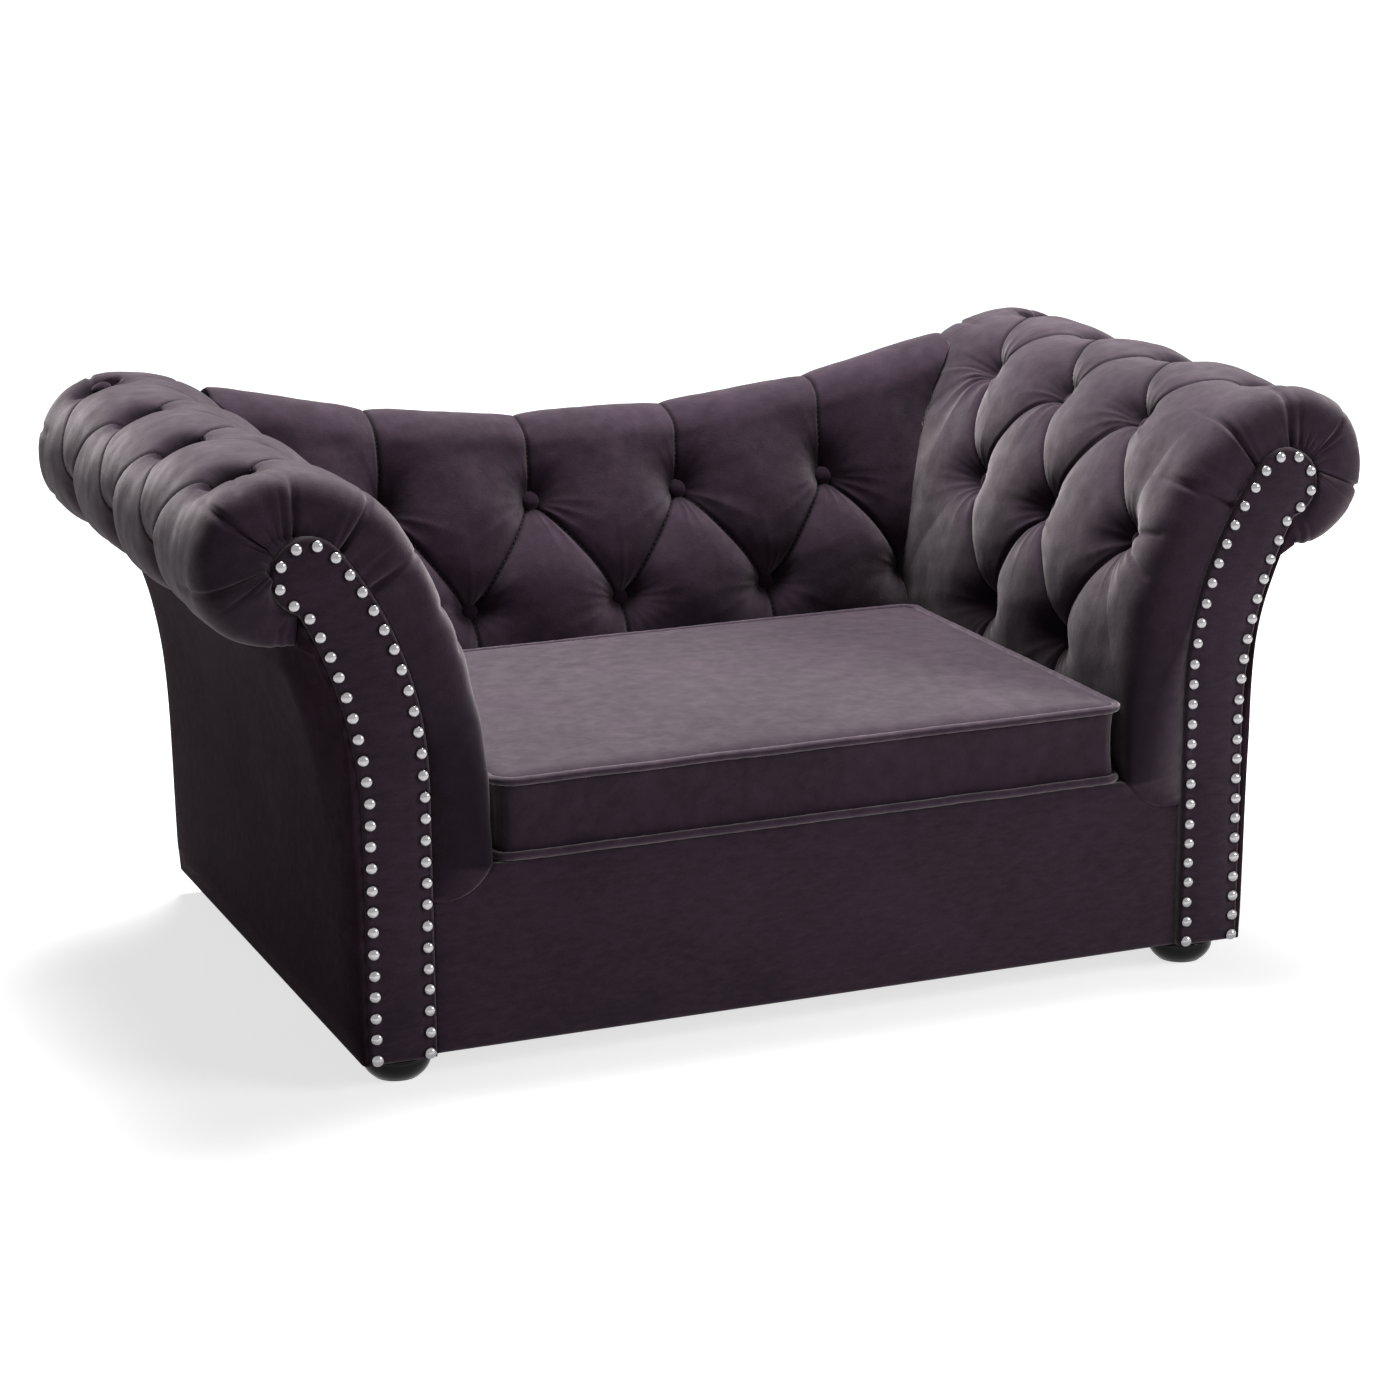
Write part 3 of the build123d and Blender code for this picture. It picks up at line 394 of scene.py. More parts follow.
def scroll_inner(inset, bottom, count):
    """Points from the foot of the scroll's inner side up, over its tip and down to the notch."""
    end = angle_about(TIP_CENTRE, scroll_corner(inset))
    points = [(SCROLL_INNER_X + inset, z) for z in np.linspace(bottom, INNER_HEIGHT, 12)]
    points += [circle_point(INNER_CENTRE, INNER_RADIUS - inset, turn) for turn in np.linspace(180, TIP_JOIN, 16)[1:]]
    points += [circle_point(TIP_CENTRE, TIP_RADIUS - inset, turn) for turn in np.linspace(TIP_JOIN, end, 32)[1:]]
    return even_points(points, count)


def scroll_outer(inset, bottom, count):
    """Points from the notch down the scroll's outer side to its foot."""
    start = angle_about(OUTER_CENTRE, scroll_corner(inset)) % 360
    points = [circle_point(OUTER_CENTRE, OUTER_RADIUS + inset, turn) for turn in np.linspace(start, 180, 18)]
    points += [(SCROLL_OUTER_X - inset, z) for z in np.linspace(OUTER_HEIGHT, bottom, 12)[1:]]
    return even_points(points, count)


def board_at(z):
    """How far out the outer side's board lies at a height; arrays."""
    return OUTER_CENTRE[0] - np.sqrt((OUTER_RADIUS - FIT_GAP) ** 2 - np.maximum(z - OUTER_HEIGHT, 0) ** 2)


def crest_at(x):
    """Height of the back's dished crest; arrays."""
    return BACK_CREST_HEIGHT + BACK_TOP_RADIUS - np.sqrt(BACK_TOP_RADIUS**2 - x**2)


def run_at_angle(angle):
    """The run of the skin whose point lies at an angle about the scroll's tip."""
    runs = np.linspace(STRAIGHT, SKIN_LENGTH, 800)
    x, z = arm_skin(runs, 0)
    turns = np.degrees(np.unwrap(np.arctan2(z - TIP_CENTRE[1], x - TIP_CENTRE[0])))
    turns = np.where(turns < -180, turns + 360, turns)
    return float(runs[np.argmin(np.abs(turns - angle))])


# Tufting
def clustered(cells):
    """Grid lines over a number of cells, a little closer together at the cells' ends."""
    t = np.arange(cells * PER_CELL + 1) / PER_CELL
    return np.round(t - 0.3 * np.sin(2 * math.pi * t) / (2 * math.pi), 9)


def arm_dips():
    """Depths at the tufts and pleat ends of an arm, by station and knot."""
    dips = {}
    for station in range(1, STATIONS + 1):
        depth = FIRST_TUFT + (station - 1) * TUFT_PITCH / 2
        for row, share in enumerate(ROW_SHARES):
            hidden = depth > BACK_FACE and row < 2
            if (row + station) % 2 == 0 and not hidden:
                last = LAST_SHARE if station == STATIONS else 1
                dips[station, row + 1] = share * last * TUFT_DEPTH
        for knot, beyond in ((1, 0), (5, 6)):
            if (station, knot) in dips:
                dips[station, beyond] = PLEAT_DEPTH
    return dips


def back_dips():
    """Depths at the two rows of buttons of the back and along its long folds."""
    dips = {}
    for station in range(2 * BACK_SIDE_STATIONS + 1):
        high = (station - BACK_SIDE_STATIONS) % 2
        dips[station, 2 if high else 1] = BACK_HIGH_DIP if high else BACK_LOW_DIP
        dips[station, 3 if high else 0] = PLEAT_DEPTH
    return dips


def tuft_sink(dips, along, across, plain):
    """How far the skin is drawn in over a whole grid, and each quad's fold direction.

    along and across count stations and knots; plain tells the bands that have no diagonal folds.
    """
    cells_i, cells_j = int(along[-1]), int(across[-1])
    sink = np.zeros((len(along), len(across)))
    lean = np.zeros((len(along) - 1, len(across) - 1), int)
    ci = np.minimum(along.astype(int), cells_i - 1)
    cj = np.minimum(across.astype(int), cells_j - 1)
    for i in range(cells_i):
        rows = np.where(ci == i)[0]
        a = (along[rows] - i)[:, None]
        for j in range(cells_j):
            cols = np.where(cj == j)[0]
            c = (across[cols] - j)[None, :]
            n00, n01 = dips.get((i, j), 0), dips.get((i, j + 1), 0)
            n10, n11 = dips.get((i + 1, j), 0), dips.get((i + 1, j + 1), 0)
            way = 0 if plain(j) else (1 if n00 + n11 > n01 + n10 else -1)
            if way:
                d, near, far = (c, n00, n11) if way > 0 else (1 - c, n01, n10)
                value = near * (1 - np.maximum(a, d)) ** PUFF_POWER + far * np.minimum(a, d) ** PUFF_POWER
            else:
                near, far = n00 + (n01 - n00) * c**PUFF_POWER, n10 + (n11 - n10) * c**PUFF_POWER
                value = near * (1 - a) ** PUFF_POWER + far * a**PUFF_POWER
            sink[np.ix_(rows, cols)] = value
            lean[np.ix_(rows[rows < len(along) - 1], cols[cols < len(across) - 1])] = way
    return sink, lean


class Cloth:
    """The folds of a padded skin, in millimetres over the grid of its places y and s.

    groove, slit and pleats are narrow and stand in the cloth's face; fold, the soft hollows, and the
    dimples go into the padding; pull is the gathers; the last layer is painted shade in the seams and
    cups; lines are sewn.
    """

    def __init__(self, y, s):
        self.y, self.s = y, s
        self.lines = []
        for layer in ("fold", "groove", "slit", "pleats", "pull", "mark"):
            setattr(self, layer, np.zeros(y.shape))

    def deepen(self, layer, depth):
        """Where a new fold crosses an old one in the same layer, the deeper counts."""
        setattr(self, layer, np.maximum(getattr(self, layer), depth))

    def off_line(self, start, end):
        """How far each place lies from a stretch of a line, how far along it, and on which side."""
        (y0, s0), (y1, s1) = start, end
        length = math.hypot(y1 - y0, s1 - s0)
        uy, us = (y1 - y0) / length, (s1 - s0) / length
        t = np.clip(((self.y - y0) * uy + (self.s - s0) * us) / length, 0, 1)
        dy, ds = self.y - (y0 + t * length * uy), self.s - (s0 + t * length * us)
        return np.hypot(dy, ds), t, ds * uy - dy * us

    def narrow(self, start, end, width, depth_start, depth_end, lip=0.35):
        """Depth of a narrow groove along a line, with the cloth lapping over on one side."""
        away, t, off = self.off_line(start, end)
        depth = depth_start + (depth_end - depth_start) * t
        fold = np.exp(-((away / width) ** 1.6))
        lap = np.exp(-(((off - 2.1 * width) / (1.4 * width)) ** 2)) * np.exp(-((away / (5 * width)) ** 4))
        return depth * (fold - lip * lap)

    def soft(self, start, end, width, depth):
        """Depth of a soft hollow on both sides of a line."""
        return depth * np.exp(-((self.off_line(start, end)[0] / width) ** 1.5))

    def crease(self, *sizes, layer="groove", **more):
        self.deepen(layer, self.narrow(*sizes, **more))

    def valley(self, *sizes):
        self.deepen("fold", self.soft(*sizes))

    def seam(self, start, end, sewn_or_shade=True):
        # Paints shade along the line, dark in the fold, and keeps the line for stitches where it is sewn.
        self.deepen("mark", np.exp(-((self.off_line(start, end)[0] / 1.9) ** 2)))
        if sewn_or_shade:
            self.lines.append((start, end))

    def shade_cup(self, centre, wide=14.0, tall=14.0):
        # Painted shade round a button's cup, a soft dark spot of the given widths.
        reach = np.hypot((self.y - centre[0]) / wide, (self.s - centre[1]) / tall)
        self.deepen("mark", 0.85 * np.exp(-(reach**2)))

    def gathers(self, centre, hang, count, size, depth, phase):
        """Puckers that fan out round a button, each of its own length."""
        dy, ds = self.y - centre[0], self.s - centre[1]
        reach = np.hypot(dy, ds)
        turn = np.arctan2(ds, dy)
        long = size * (1.55 + 0.45 * np.sin(3 * turn + 2.2 * phase) + 0.3 * np.sin(5 * turn + phase))
        swell = np.clip((reach - 5) / 8, 0, 1) * np.exp(-((reach / long) ** 2))
        wave = np.sin(count * turn + phase + 1.1 * np.sin(2 * turn + phase))
        self.pull += hang * (depth * swell * (0.35 - np.abs(wave) ** 0.8))

    def dimples(self, dips, stations, knots, upright=()):
        """The steep cups that the buttons pull and the wells round them; upright rows pull across the grid."""
        extra = np.zeros(self.y.shape)
        for (i, j), dip in dips.items():
            if dip > WHOLE_DIP:
                turn = 0.5 * math.sin(2.7 * i + 1.3 * j)
                size, power = 1.0, 1.6
                if j in upright:
                    turn, dip, size, power = math.pi / 2 + 0.4 * turn, 1.6 * dip, 1.22, 2.4
                dy, ds = self.y - stations[i], self.s - knots[j]
                u = dy * math.cos(turn) + ds * math.sin(turn)
                v = ds * math.cos(turn) - dy * math.sin(turn)
                reach = np.hypot(u / DIMPLE_LONG, v / DIMPLE_WIDE) / size
                wide = np.hypot(u / 1.9, v / 1.5) / DIMPLE_LONG
                extra = extra + dip * (DIMPLE_SHARE * np.exp(-(reach**power)) + WELL_SHARE * np.exp(-(wide**1.7)))
        return extra

    def sample(self, grid, y, s):
        """A grid's value at a place between its points."""
        j = float(np.interp(s, self.s[0], np.arange(self.s.shape[1])))
        i = float(np.interp(y, self.y[:, int(round(j))], np.arange(len(self.y))))
        i0, j0 = min(int(i), grid.shape[0] - 2), min(int(j), grid.shape[1] - 2)
        a, b = i - i0, j - j0
        return ((1 - a) * (1 - b) * grid[i0, j0] + a * (1 - b) * grid[i0 + 1, j0]
                + (1 - a) * b * grid[i0, j0 + 1] + a * b * grid[i0 + 1, j0 + 1])

    def sew(self, name, skin, side=1):
        """The piece of short thread stitches that lie in the sewn folds."""
        points, faces = [], []
        normal = grid_normals(skin)
        if np.median(normal[:, :, 2]) < 0:
            normal = -normal
        for start, end in self.lines:
            length = math.hypot(end[0] - start[0], end[1] - start[1])
            for k in range(max(int((length - 2 * STITCH_CLEAR) / STITCH_STEP), 0)):
                t = (STITCH_CLEAR + (k + 0.5) * STITCH_STEP) / length
                half = STITCH_HALF / length
                y0, y1 = (start[0] + (end[0] - start[0]) * v for v in (t - half, t + half))
                s0, s1 = (start[1] + (end[1] - start[1]) * v for v in (t - half, t + half))
                a, b = self.sample(skin, y0, s0), self.sample(skin, y1, s1)
                up = self.sample(normal, (y0 + y1) / 2, (s0 + s1) / 2)
                if np.linalg.norm(b - a) < 1.5:
                    continue
                across = np.cross(b - a, up)
                across /= max(np.linalg.norm(across), 1e-9)
                core = (a + b) / 2 + 0.45 * up
                first = len(points)
                points += [a + 0.1 * up, b + 0.1 * up]
                for turn in np.radians(np.arange(0, 360, 60)):
                    aside, above = STITCH_RADIUS * math.cos(turn), STITCH_RADIUS * math.sin(turn)
                    points.append(core + aside * across + above * up)
                for v in range(6):
                    w = (v + 1) % 6
                    faces += [(first, first + 2 + v, first + 2 + w), (first + 1, first + 2 + w, first + 2 + v)]
        thread = new_piece(name, np.array(points) * np.array([side, 1, 1]), faces)
        settle(thread, "sofa", "velvet", thread_cloth)


# Arms
def end_share(run):
    """How much of the full end rounding the pad has at a run: little by the deck and by the notch."""
    low = LOW_END_SHARE + (1 - LOW_END_SHARE) * smooth_step(run / LOW_END_GROWTH)
    late = NOTCH_END_SHARE + (1 - NOTCH_END_SHARE) * smooth_step((SKIN_LENGTH - run) / NOTCH_END_GROWTH)
    return np.minimum(low, late)


def arm_grid():
    """Stations, knots, cell counts both ways, and the points' run, depth, place on the cloth and draw-in."""
    knots = [0.0] + [FIRST_ROW + ROW_PITCH * row for row in range(len(ROW_SHARES))] + [SKIN_LENGTH]
    front_y, rear_y = PAD_SETBACK + END_DEPTH, PAD_REAR - END_DEPTH
    stations = [front_y] + [FIRST_TUFT + TUFT_PITCH / 2 * k for k in range(STATIONS)] + [rear_y]
    stations[1] -= FRONT_COLUMN_SHIFT
    steps = clustered(len(stations) - 1)
    across = clustered(len(knots) - 1)
    run = np.interp(across, np.arange(len(knots)), knots)
    share = end_share(run)[None, :]
    # the ends' quarter rounds, taken again at even steps along the cloth
    fine = np.linspace(0, math.pi / 2, 3000)
    going, drawing = 1 - np.cos(fine) ** END_POWER, 1 - np.sin(fine) ** END_POWER
    lengths = np.concatenate([[0], np.cumsum(np.hypot(END_DEPTH * np.diff(going), END_DRAW * np.diff(drawing)))])
    wanted = np.linspace(0, lengths[-1], END_STEPS + 1)[:-1]
    going, drawing = (np.interp(wanted, lengths, v)[:, None] for v in (going, drawing))
    left = lengths[-1] - wanted[:, None]
    front_end, rear_end = PAD_SETBACK + END_DEPTH * share, PAD_REAR - END_DEPTH * share
    draw_in = END_DRAW * drawing * share
    middle = np.interp(steps, np.arange(len(stations)), stations)[:, None] + 0 * share
    first, last = stations[1], stations[-2]
    middle = np.where(middle < first, first - (first - middle) * (first - front_end) / (first - front_y), middle)
    middle = np.where(middle > last, last + (middle - last) * (rear_end - last) / (rear_y - last), middle)
    depth = np.concatenate([PAD_SETBACK + END_DEPTH * going * share, middle,
                            (PAD_REAR - END_DEPTH * going * share)[::-1]])
    draw = np.concatenate([draw_in, 0 * middle, draw_in[::-1]])
    cloth = np.concatenate([front_end - left * share, middle, (rear_end + left * share)[::-1]])
    along = np.concatenate([np.zeros(END_STEPS), steps, np.full(END_STEPS, steps[-1])])
    return stations, knots, along, across, run, depth, cloth, draw


def arm_folds(cloth, dips, stations, knots):
    """Seams, creases and gathers round each tuft of an arm."""
    last = len(knots) - 1
    for i, j in dips:
        here = (stations[i], knots[j])
        if j in BUTTON_ROWS:
            # painted shade round each button, wider on the roll's top row
            cloth.shade_cup(here, *((25, 25) if j == 4 else (14, 15)))
        for dj in (1, -1):
            if (i + 1, j + dj) in dips and 0 < j + dj < last and 0 < j < last:
                there = (stations[i + 1], knots[j + dj])
                cloth.valley(here, there, *ARM_VALLEY)
                cloth.crease(here, there, *ARM_GROOVE)
                cloth.seam(here, there)
        if j == 1:
            foot = (stations[i], 0)
            cloth.seam(foot, here)
            cloth.valley(here, foot, *ARM_FOOT_VALLEY)
            cloth.crease(here, foot, *ARM_FOOT_GROOVE)
        if i > 5 and j in (2, 3):
            # short creases fan out where the arm meets the back
            for k in range(6):
                turn = math.radians(-80 + 29 * k + 7 * math.sin(3 * k + j))
                reach = 44 + 14 * math.sin(2.1 * k + j)
                start = (here[0] + 10 * math.cos(turn), here[1] + 10 * math.sin(turn))
                end = (here[0] + reach * math.cos(turn), here[1] + reach * math.sin(turn) - 6)
                cloth.crease(start, end, *FAN_GROOVE, lip=0.6)
        if j == 4:
            slit = (here[0] + 10, here[1] - 20), (here[0] + 10 - 3, here[1] + 24)
            cloth.crease(*slit, *SLIT_GROOVE, lip=0.6, layer="slit")
            cloth.seam(*slit, sewn_or_shade=False)
        if j == 5:
            low = (here[0] + 5, SKIN_LENGTH)
            cloth.seam(here, low, sewn_or_shade=False)
            cloth.deepen("slit", cloth.soft(here, low, *LOW_VALLEY) + cloth.narrow(here, low, *LOW_GROOVE, lip=0.5))
        if j in (2, 4) and i == 1:
            for lift in (-26, 12):
                end = (stations[0] - 30, here[1] + lift)
                cloth.crease(here, end, *FRONT_GROOVE, lip=0.5)
                cloth.valley(here, end, *FRONT_VALLEY)
        if j in BUTTON_ROWS:
            hang = 0.3 + 0.7 * smooth_step((here[1] - cloth.s + 6) / 24)
            rear = 1.5 if i > 5 and j < 4 else 1.0
            size, depth = (23, 2.1) if j < 4 else (13, 0.9)
            cloth.gathers(here, hang, 7 + (i + j) % 3, size * rear, depth * rear, 2.0 * i + j)


def arm_pleats(cloth, front_y, rear_y, seed):
    """Pleats by which the cloth turns over the pad's two ends."""
    yy, ss = cloth.y, cloth.s
    for edge, inner, angles, sense, base in ((float(yy.min()), front_y, PLEAT_ANGLES, -1, 2.1),
                                             (float(yy.max()), rear_y, REAR_PLEAT_ANGLES, 1, 1.7)):
        for k, angle in enumerate(angles):
            place = run_at_angle(angle)
            start = (inner - sense * (14 + 6 * math.sin(base * k)), place + 9 * math.sin(base * k + seed))
            deep = 1.6 + 5.4 * smooth_step((SKIN_LENGTH - place - 20) / 70)
            cloth.crease(start, (edge + sense * 4, place), PLEAT_WIDTH, PLEAT_START, deep, lip=0.55, layer="pleats")
            side = place + 11 + 3 * math.sin(3.1 * k + base)
            cloth.crease((inner + sense * 22, side + 5), (edge + sense * 4, side), *SIDE_PLEAT,
                         lip=0.4, layer="pleats")
        close = np.exp(-(((yy - edge) / 13) ** 2))
        turning = smooth_step((ss - 230) / 120) * smooth_step((SKIN_LENGTH - ss) / 60)
        cloth.pleats += close * turning * 0.8 * np.sin(ss / 3.2 + 2.2 * ripple(ss, yy, 60, seed + 9))


def arm_surface(seed):
    """Grid of the right arm's skin, with its fold directions, depths, button seats and cloth."""
    dips = arm_dips()
    stations, knots, along, across, run, depth, yy, draw = arm_grid()
    front_y, rear_y = stations[0], stations[-1]
    sink, lean = tuft_sink(dips, along, across, lambda j: j in (0, len(knots) - 2))
    ss = run[None, :] + 0 * yy
    over = smooth_step((ss - knots[3] + 10) / 100)
    cloth = Cloth(yy, ss)
    arm_folds(cloth, dips, stations, knots)
    groove = np.maximum(cloth.groove * (1 - 0.6 * over), cloth.slit)
    sink = (PUFF_SHARE * sink * (1 - 0.75 * over) + cloth.dimples(dips, stations, knots, upright=(4, 5))
            + cloth.fold * (1 - 0.75 * over))
    sink = sink * (1 + 0.06 * ripple(yy, ss, 170, seed))
    middle = edge_fade(np.minimum(yy - front_y, rear_y - yy), 40)
    shift_y = 3.2 * ripple(yy, ss, 130, seed + 1) * middle
    shift_s = 3.2 * ripple(yy, ss, 130, seed + 2) * middle * edge_fade(ss, 40) * edge_fade(SKIN_LENGTH - ss, 40)
    arm_pleats(cloth, front_y, rear_y, seed)
    loose = ripples(yy, ss, (0.9, 52, seed + 3), (0.4, 25, seed + 4), (1.2, 120, seed + 5))
    # the roll is fuller low on its outside and lower at its crest than the solid
    loose += 6.5 * np.exp(-(((ss - 566) / 42) ** 2)) - 4.5 * np.exp(-(((ss - 408) / 52) ** 2))
    x, z = arm_skin(ss + shift_s, sink + draw)
    flat = xyz(x, depth + shift_y, z)
    normal = grid_normals(flat)
    core = np.array([TIP_CENTRE[0], 290, TIP_CENTRE[1] - 60])
    outwards = np.median(np.sign(np.sum(normal * (flat - core), axis=2)))
    fade = edge_fade(ss, 12) * edge_fade(SKIN_LENGTH - ss, 12)
    skin = flat + normal * outwards * ((loose + cloth.pull) * fade - groove - cloth.pleats)[:, :, None]
    # painted shade, low on the inner face and in the corner by the back
    cloth.deepen("mark", 0.72 * (1 - smooth_step((ss - 20) / 230)))
    cloth.deepen("mark", 0.35 * smooth_step((yy - 440) / 70) * (1 - smooth_step((ss - 280) / 90)))
    seats = []
    for i, j in dips:
        if j in BUTTON_ROWS:
            gi, gj = END_STEPS + i * PER_CELL, j * PER_CELL
            rim = arm_skin(knots[j] + shift_s[gi, gj], 0)
            seats.append((flat[gi, gj], np.array([rim[0], flat[gi, gj, 1], rim[1]])))
    return skin, lean, depth, seats, cloth


def bridge(first, second, points):
    """Triangles between two lines of points that share both their ends."""
    faces = []
    i = j = 0
    while i < len(first) - 1 or j < len(second) - 1:
        step_i = np.inf if i == len(first) - 1 else np.linalg.norm(points[first[i + 1]] - points[second[j]])
        step_j = np.inf if j == len(second) - 1 else np.linalg.norm(points[second[j + 1]] - points[first[i]])
        if step_i <= step_j:
            faces.append((first[i], first[i + 1], second[j]))
            i += 1
        else:
            faces.append((first[i], second[j + 1], second[j]))
            j += 1
    return [f for f in faces if len(set(f)) == 3]


def arm_piece(side, seed):
    """One arm's upholstery as a closed mesh; side is 1 for the right arm and -1 for the left."""
    skin, lean, depth, seats, cloth = arm_surface(seed)
    cloth.sew(word_of(side) + "_arm_stitches", skin, side)
    rows = len(depth)
    low = (SCROLL_INNER_X - FIT_GAP, DECK_TOP - PAD_DROP)
    notch = scroll_corner(-FIT_GAP)
    # round the section: from under the deck to the skin, the skin, to the notch, and back along the scroll
    shares = np.linspace(0, 1, 13)[:-1]
    hang = draped(low, skin[:, 0, [0, 2]], shares)
    before = xyz(hang[:, :, 0], skin[:, :1, 1], hang[:, :, 1])
    last = skin[:, -1:, :]
    goal = last.copy()
    goal[:, :, 0], goal[:, :, 2] = notch
    after = last + (goal - last) * np.linspace(0, 1, 5)[1:, None]
    inside = scroll_inner(-FIT_GAP, low[1], 60)[::-1][1:-1]
    deep = depth[:, -1:] + (depth[:, :1] - depth[:, -1:]) * np.linspace(0, 1, len(inside))
    back = xyz(inside[:, 0], deep, inside[:, 1])
    ring = np.concatenate([before, skin, after, back], axis=1)
    # the pad's rear end stops at the back board wherever the board is behind it
    behind = (ring[:, :, 0] < SCROLL_INNER_X + FIT_GAP) & (ring[:, :, 1] > BOARD_FRONT - FIT_GAP)
    behind &= ring[:, :, 2] < crest_at(SCROLL_INNER_X) - BACK_ROLL
    ring[:, :, 1] = np.where(behind, BOARD_FRONT - FIT_GAP, ring[:, :, 1])
    ring[:, :, 0] *= side
    around = ring.shape[1]
    full = np.zeros((rows - 1, around), int)
    full[:, len(shares):len(shares) + lean.shape[1]] = lean
    faces = grid_faces(rows, around, full, wrap=True)
    for start in (0, (rows - 1) * around):
        outer = list(range(start, start + around - len(inside)))
        inner = [start] + list(range(start + around - 1, start + around - len(inside) - 1, -1)) + [outer[-1]]
        faces += bridge(outer, inner, ring.reshape(-1, 3))
    # painted shade only on the skin, none on the pad's ends and underside
    mark = np.zeros(ring.shape[:2])
    mark[:, len(shares):len(shares) + skin.shape[1]] = cloth.mark
    flip = np.array([side, 1, 1])
    placed = [(seat * flip, (rim - seat) * flip) for seat, rim in seats]
    return new_piece(word_of(side) + "_arm_upholstery", ring, faces, seam=mark), placed


# Back
def arm_limit(z):
    """How far out the back reaches at a height before it meets an arm."""
    sweep, shoulder = (
        centre[0] - np.sqrt(np.maximum((radius + FIT_GAP) ** 2 - (z - centre[1]) ** 2, 0))
        for centre, radius in ((INNER_CENTRE, FACE_RADIUS), (SHOULDER_CENTRE, SHOULDER_RADIUS)))
    join = INNER_HEIGHT + FACE_RADIUS * math.sin(math.radians(SHOULDER_ANGLE))
    return np.where(z < INNER_HEIGHT, ARM_FACE_X - FIT_GAP, np.where(z < join, sweep, shoulder))


def back_skin(x, climb, sink):
    """Depth and height of the back's skin, climb counting its four bands; arrays."""
    roll_y, roll_z = BACK_CREST_DEPTH, crest_at(x) - BACK_ROLL
    reach = np.hypot(roll_y - BACK_FACE, roll_z - BACK_LOW_ROW)
    rake = np.arctan2(roll_z - BACK_LOW_ROW, roll_y - BACK_FACE) + np.arcsin(BACK_ROLL / reach)
    high_rise = BACK_HIGH_ROW - BACK_LOW_ROW
    # the upright foot and the raked face, with a soft bend between them
    foot = DECK_TOP - 1 + FIT_GAP
    low_z = foot + (BACK_LOW_ROW - foot) * climb
    rise = high_rise * np.maximum(climb - 1, 0)
    past = np.where(climb < 1, low_z - BACK_LOW_ROW, rise / np.sin(rake))
    tilt = (math.pi / 2 - rake) * smooth_step((past + BACK_BEND) / (2 * BACK_BEND))
    cut = np.maximum(BACK_BEND - np.abs(past), 0) ** 2 / (4 * BACK_BEND) * np.cos(rake)
    y1 = BACK_FACE + rise / np.tan(rake) + (sink + cut) * np.cos(tilt)
    z1 = np.where(climb < 1, low_z, BACK_LOW_ROW + rise) - (sink + cut) * np.sin(tilt)
    # the roll over the top and down its rear
    high_y, high_z = BACK_FACE + high_rise / np.tan(rake), BACK_LOW_ROW + high_rise
    start = np.degrees(np.arctan2(high_z - roll_z, high_y - roll_y)) % 360
    facing = np.degrees(rake) + 90
    turn = np.where(climb < 3, start + (90 - start) * (climb - 2), 90 - 90 * (climb - 3))
    radius = BACK_ROLL / np.cos(np.radians(np.maximum(turn - facing, 0)))
    pull = np.radians(np.minimum(turn, facing))
    y2 = roll_y + radius * np.cos(np.radians(turn)) - sink * np.cos(pull)
    z2 = roll_z + radius * np.sin(np.radians(turn)) - sink * np.sin(pull)
    return np.where(climb < 2, y1, y2), np.where(climb < 2, z1, z2)


def back_folds(cloth, dips, stations, knots):
    """Seams, creases and gathers round each tuft of the back."""
    for i, j in dips:
        here, foot, top = (stations[i], knots[j]), (stations[i], 0), (stations[i], knots[4])
        if j in (1, 2):
            # painted shade round each button
            cloth.shade_cup(here)
        if j == 2:
            for di in (-1, 1):
                if (i + di, 1) in dips:
                    there = (stations[i + di], knots[1])
                    cloth.crease(here, there, *BACK_GROOVE)
                    cloth.seam(here, there)
                    cloth.valley(here, there, *BACK_VALLEY)
            cloth.seam(here, top)
            cloth.crease(here, top, *BACK_TOP_GROOVE, lip=0.25)
            cloth.valley(here, top, *BACK_TOP_VALLEY)
        if j == 1:
            cloth.seam(foot, here)
            cloth.crease(here, foot, *BACK_FOOT_GROOVE)
            cloth.valley(here, foot, *BACK_FOOT_VALLEY)
        if j in (1, 2):
            hang = 0.25 + 0.75 * smooth_step((here[1] - cloth.s) / 22) if j == 2 else 0.4
            cloth.gathers(here, hang, 8 + i % 3, 24, 2.5, 1.3 * i + j)


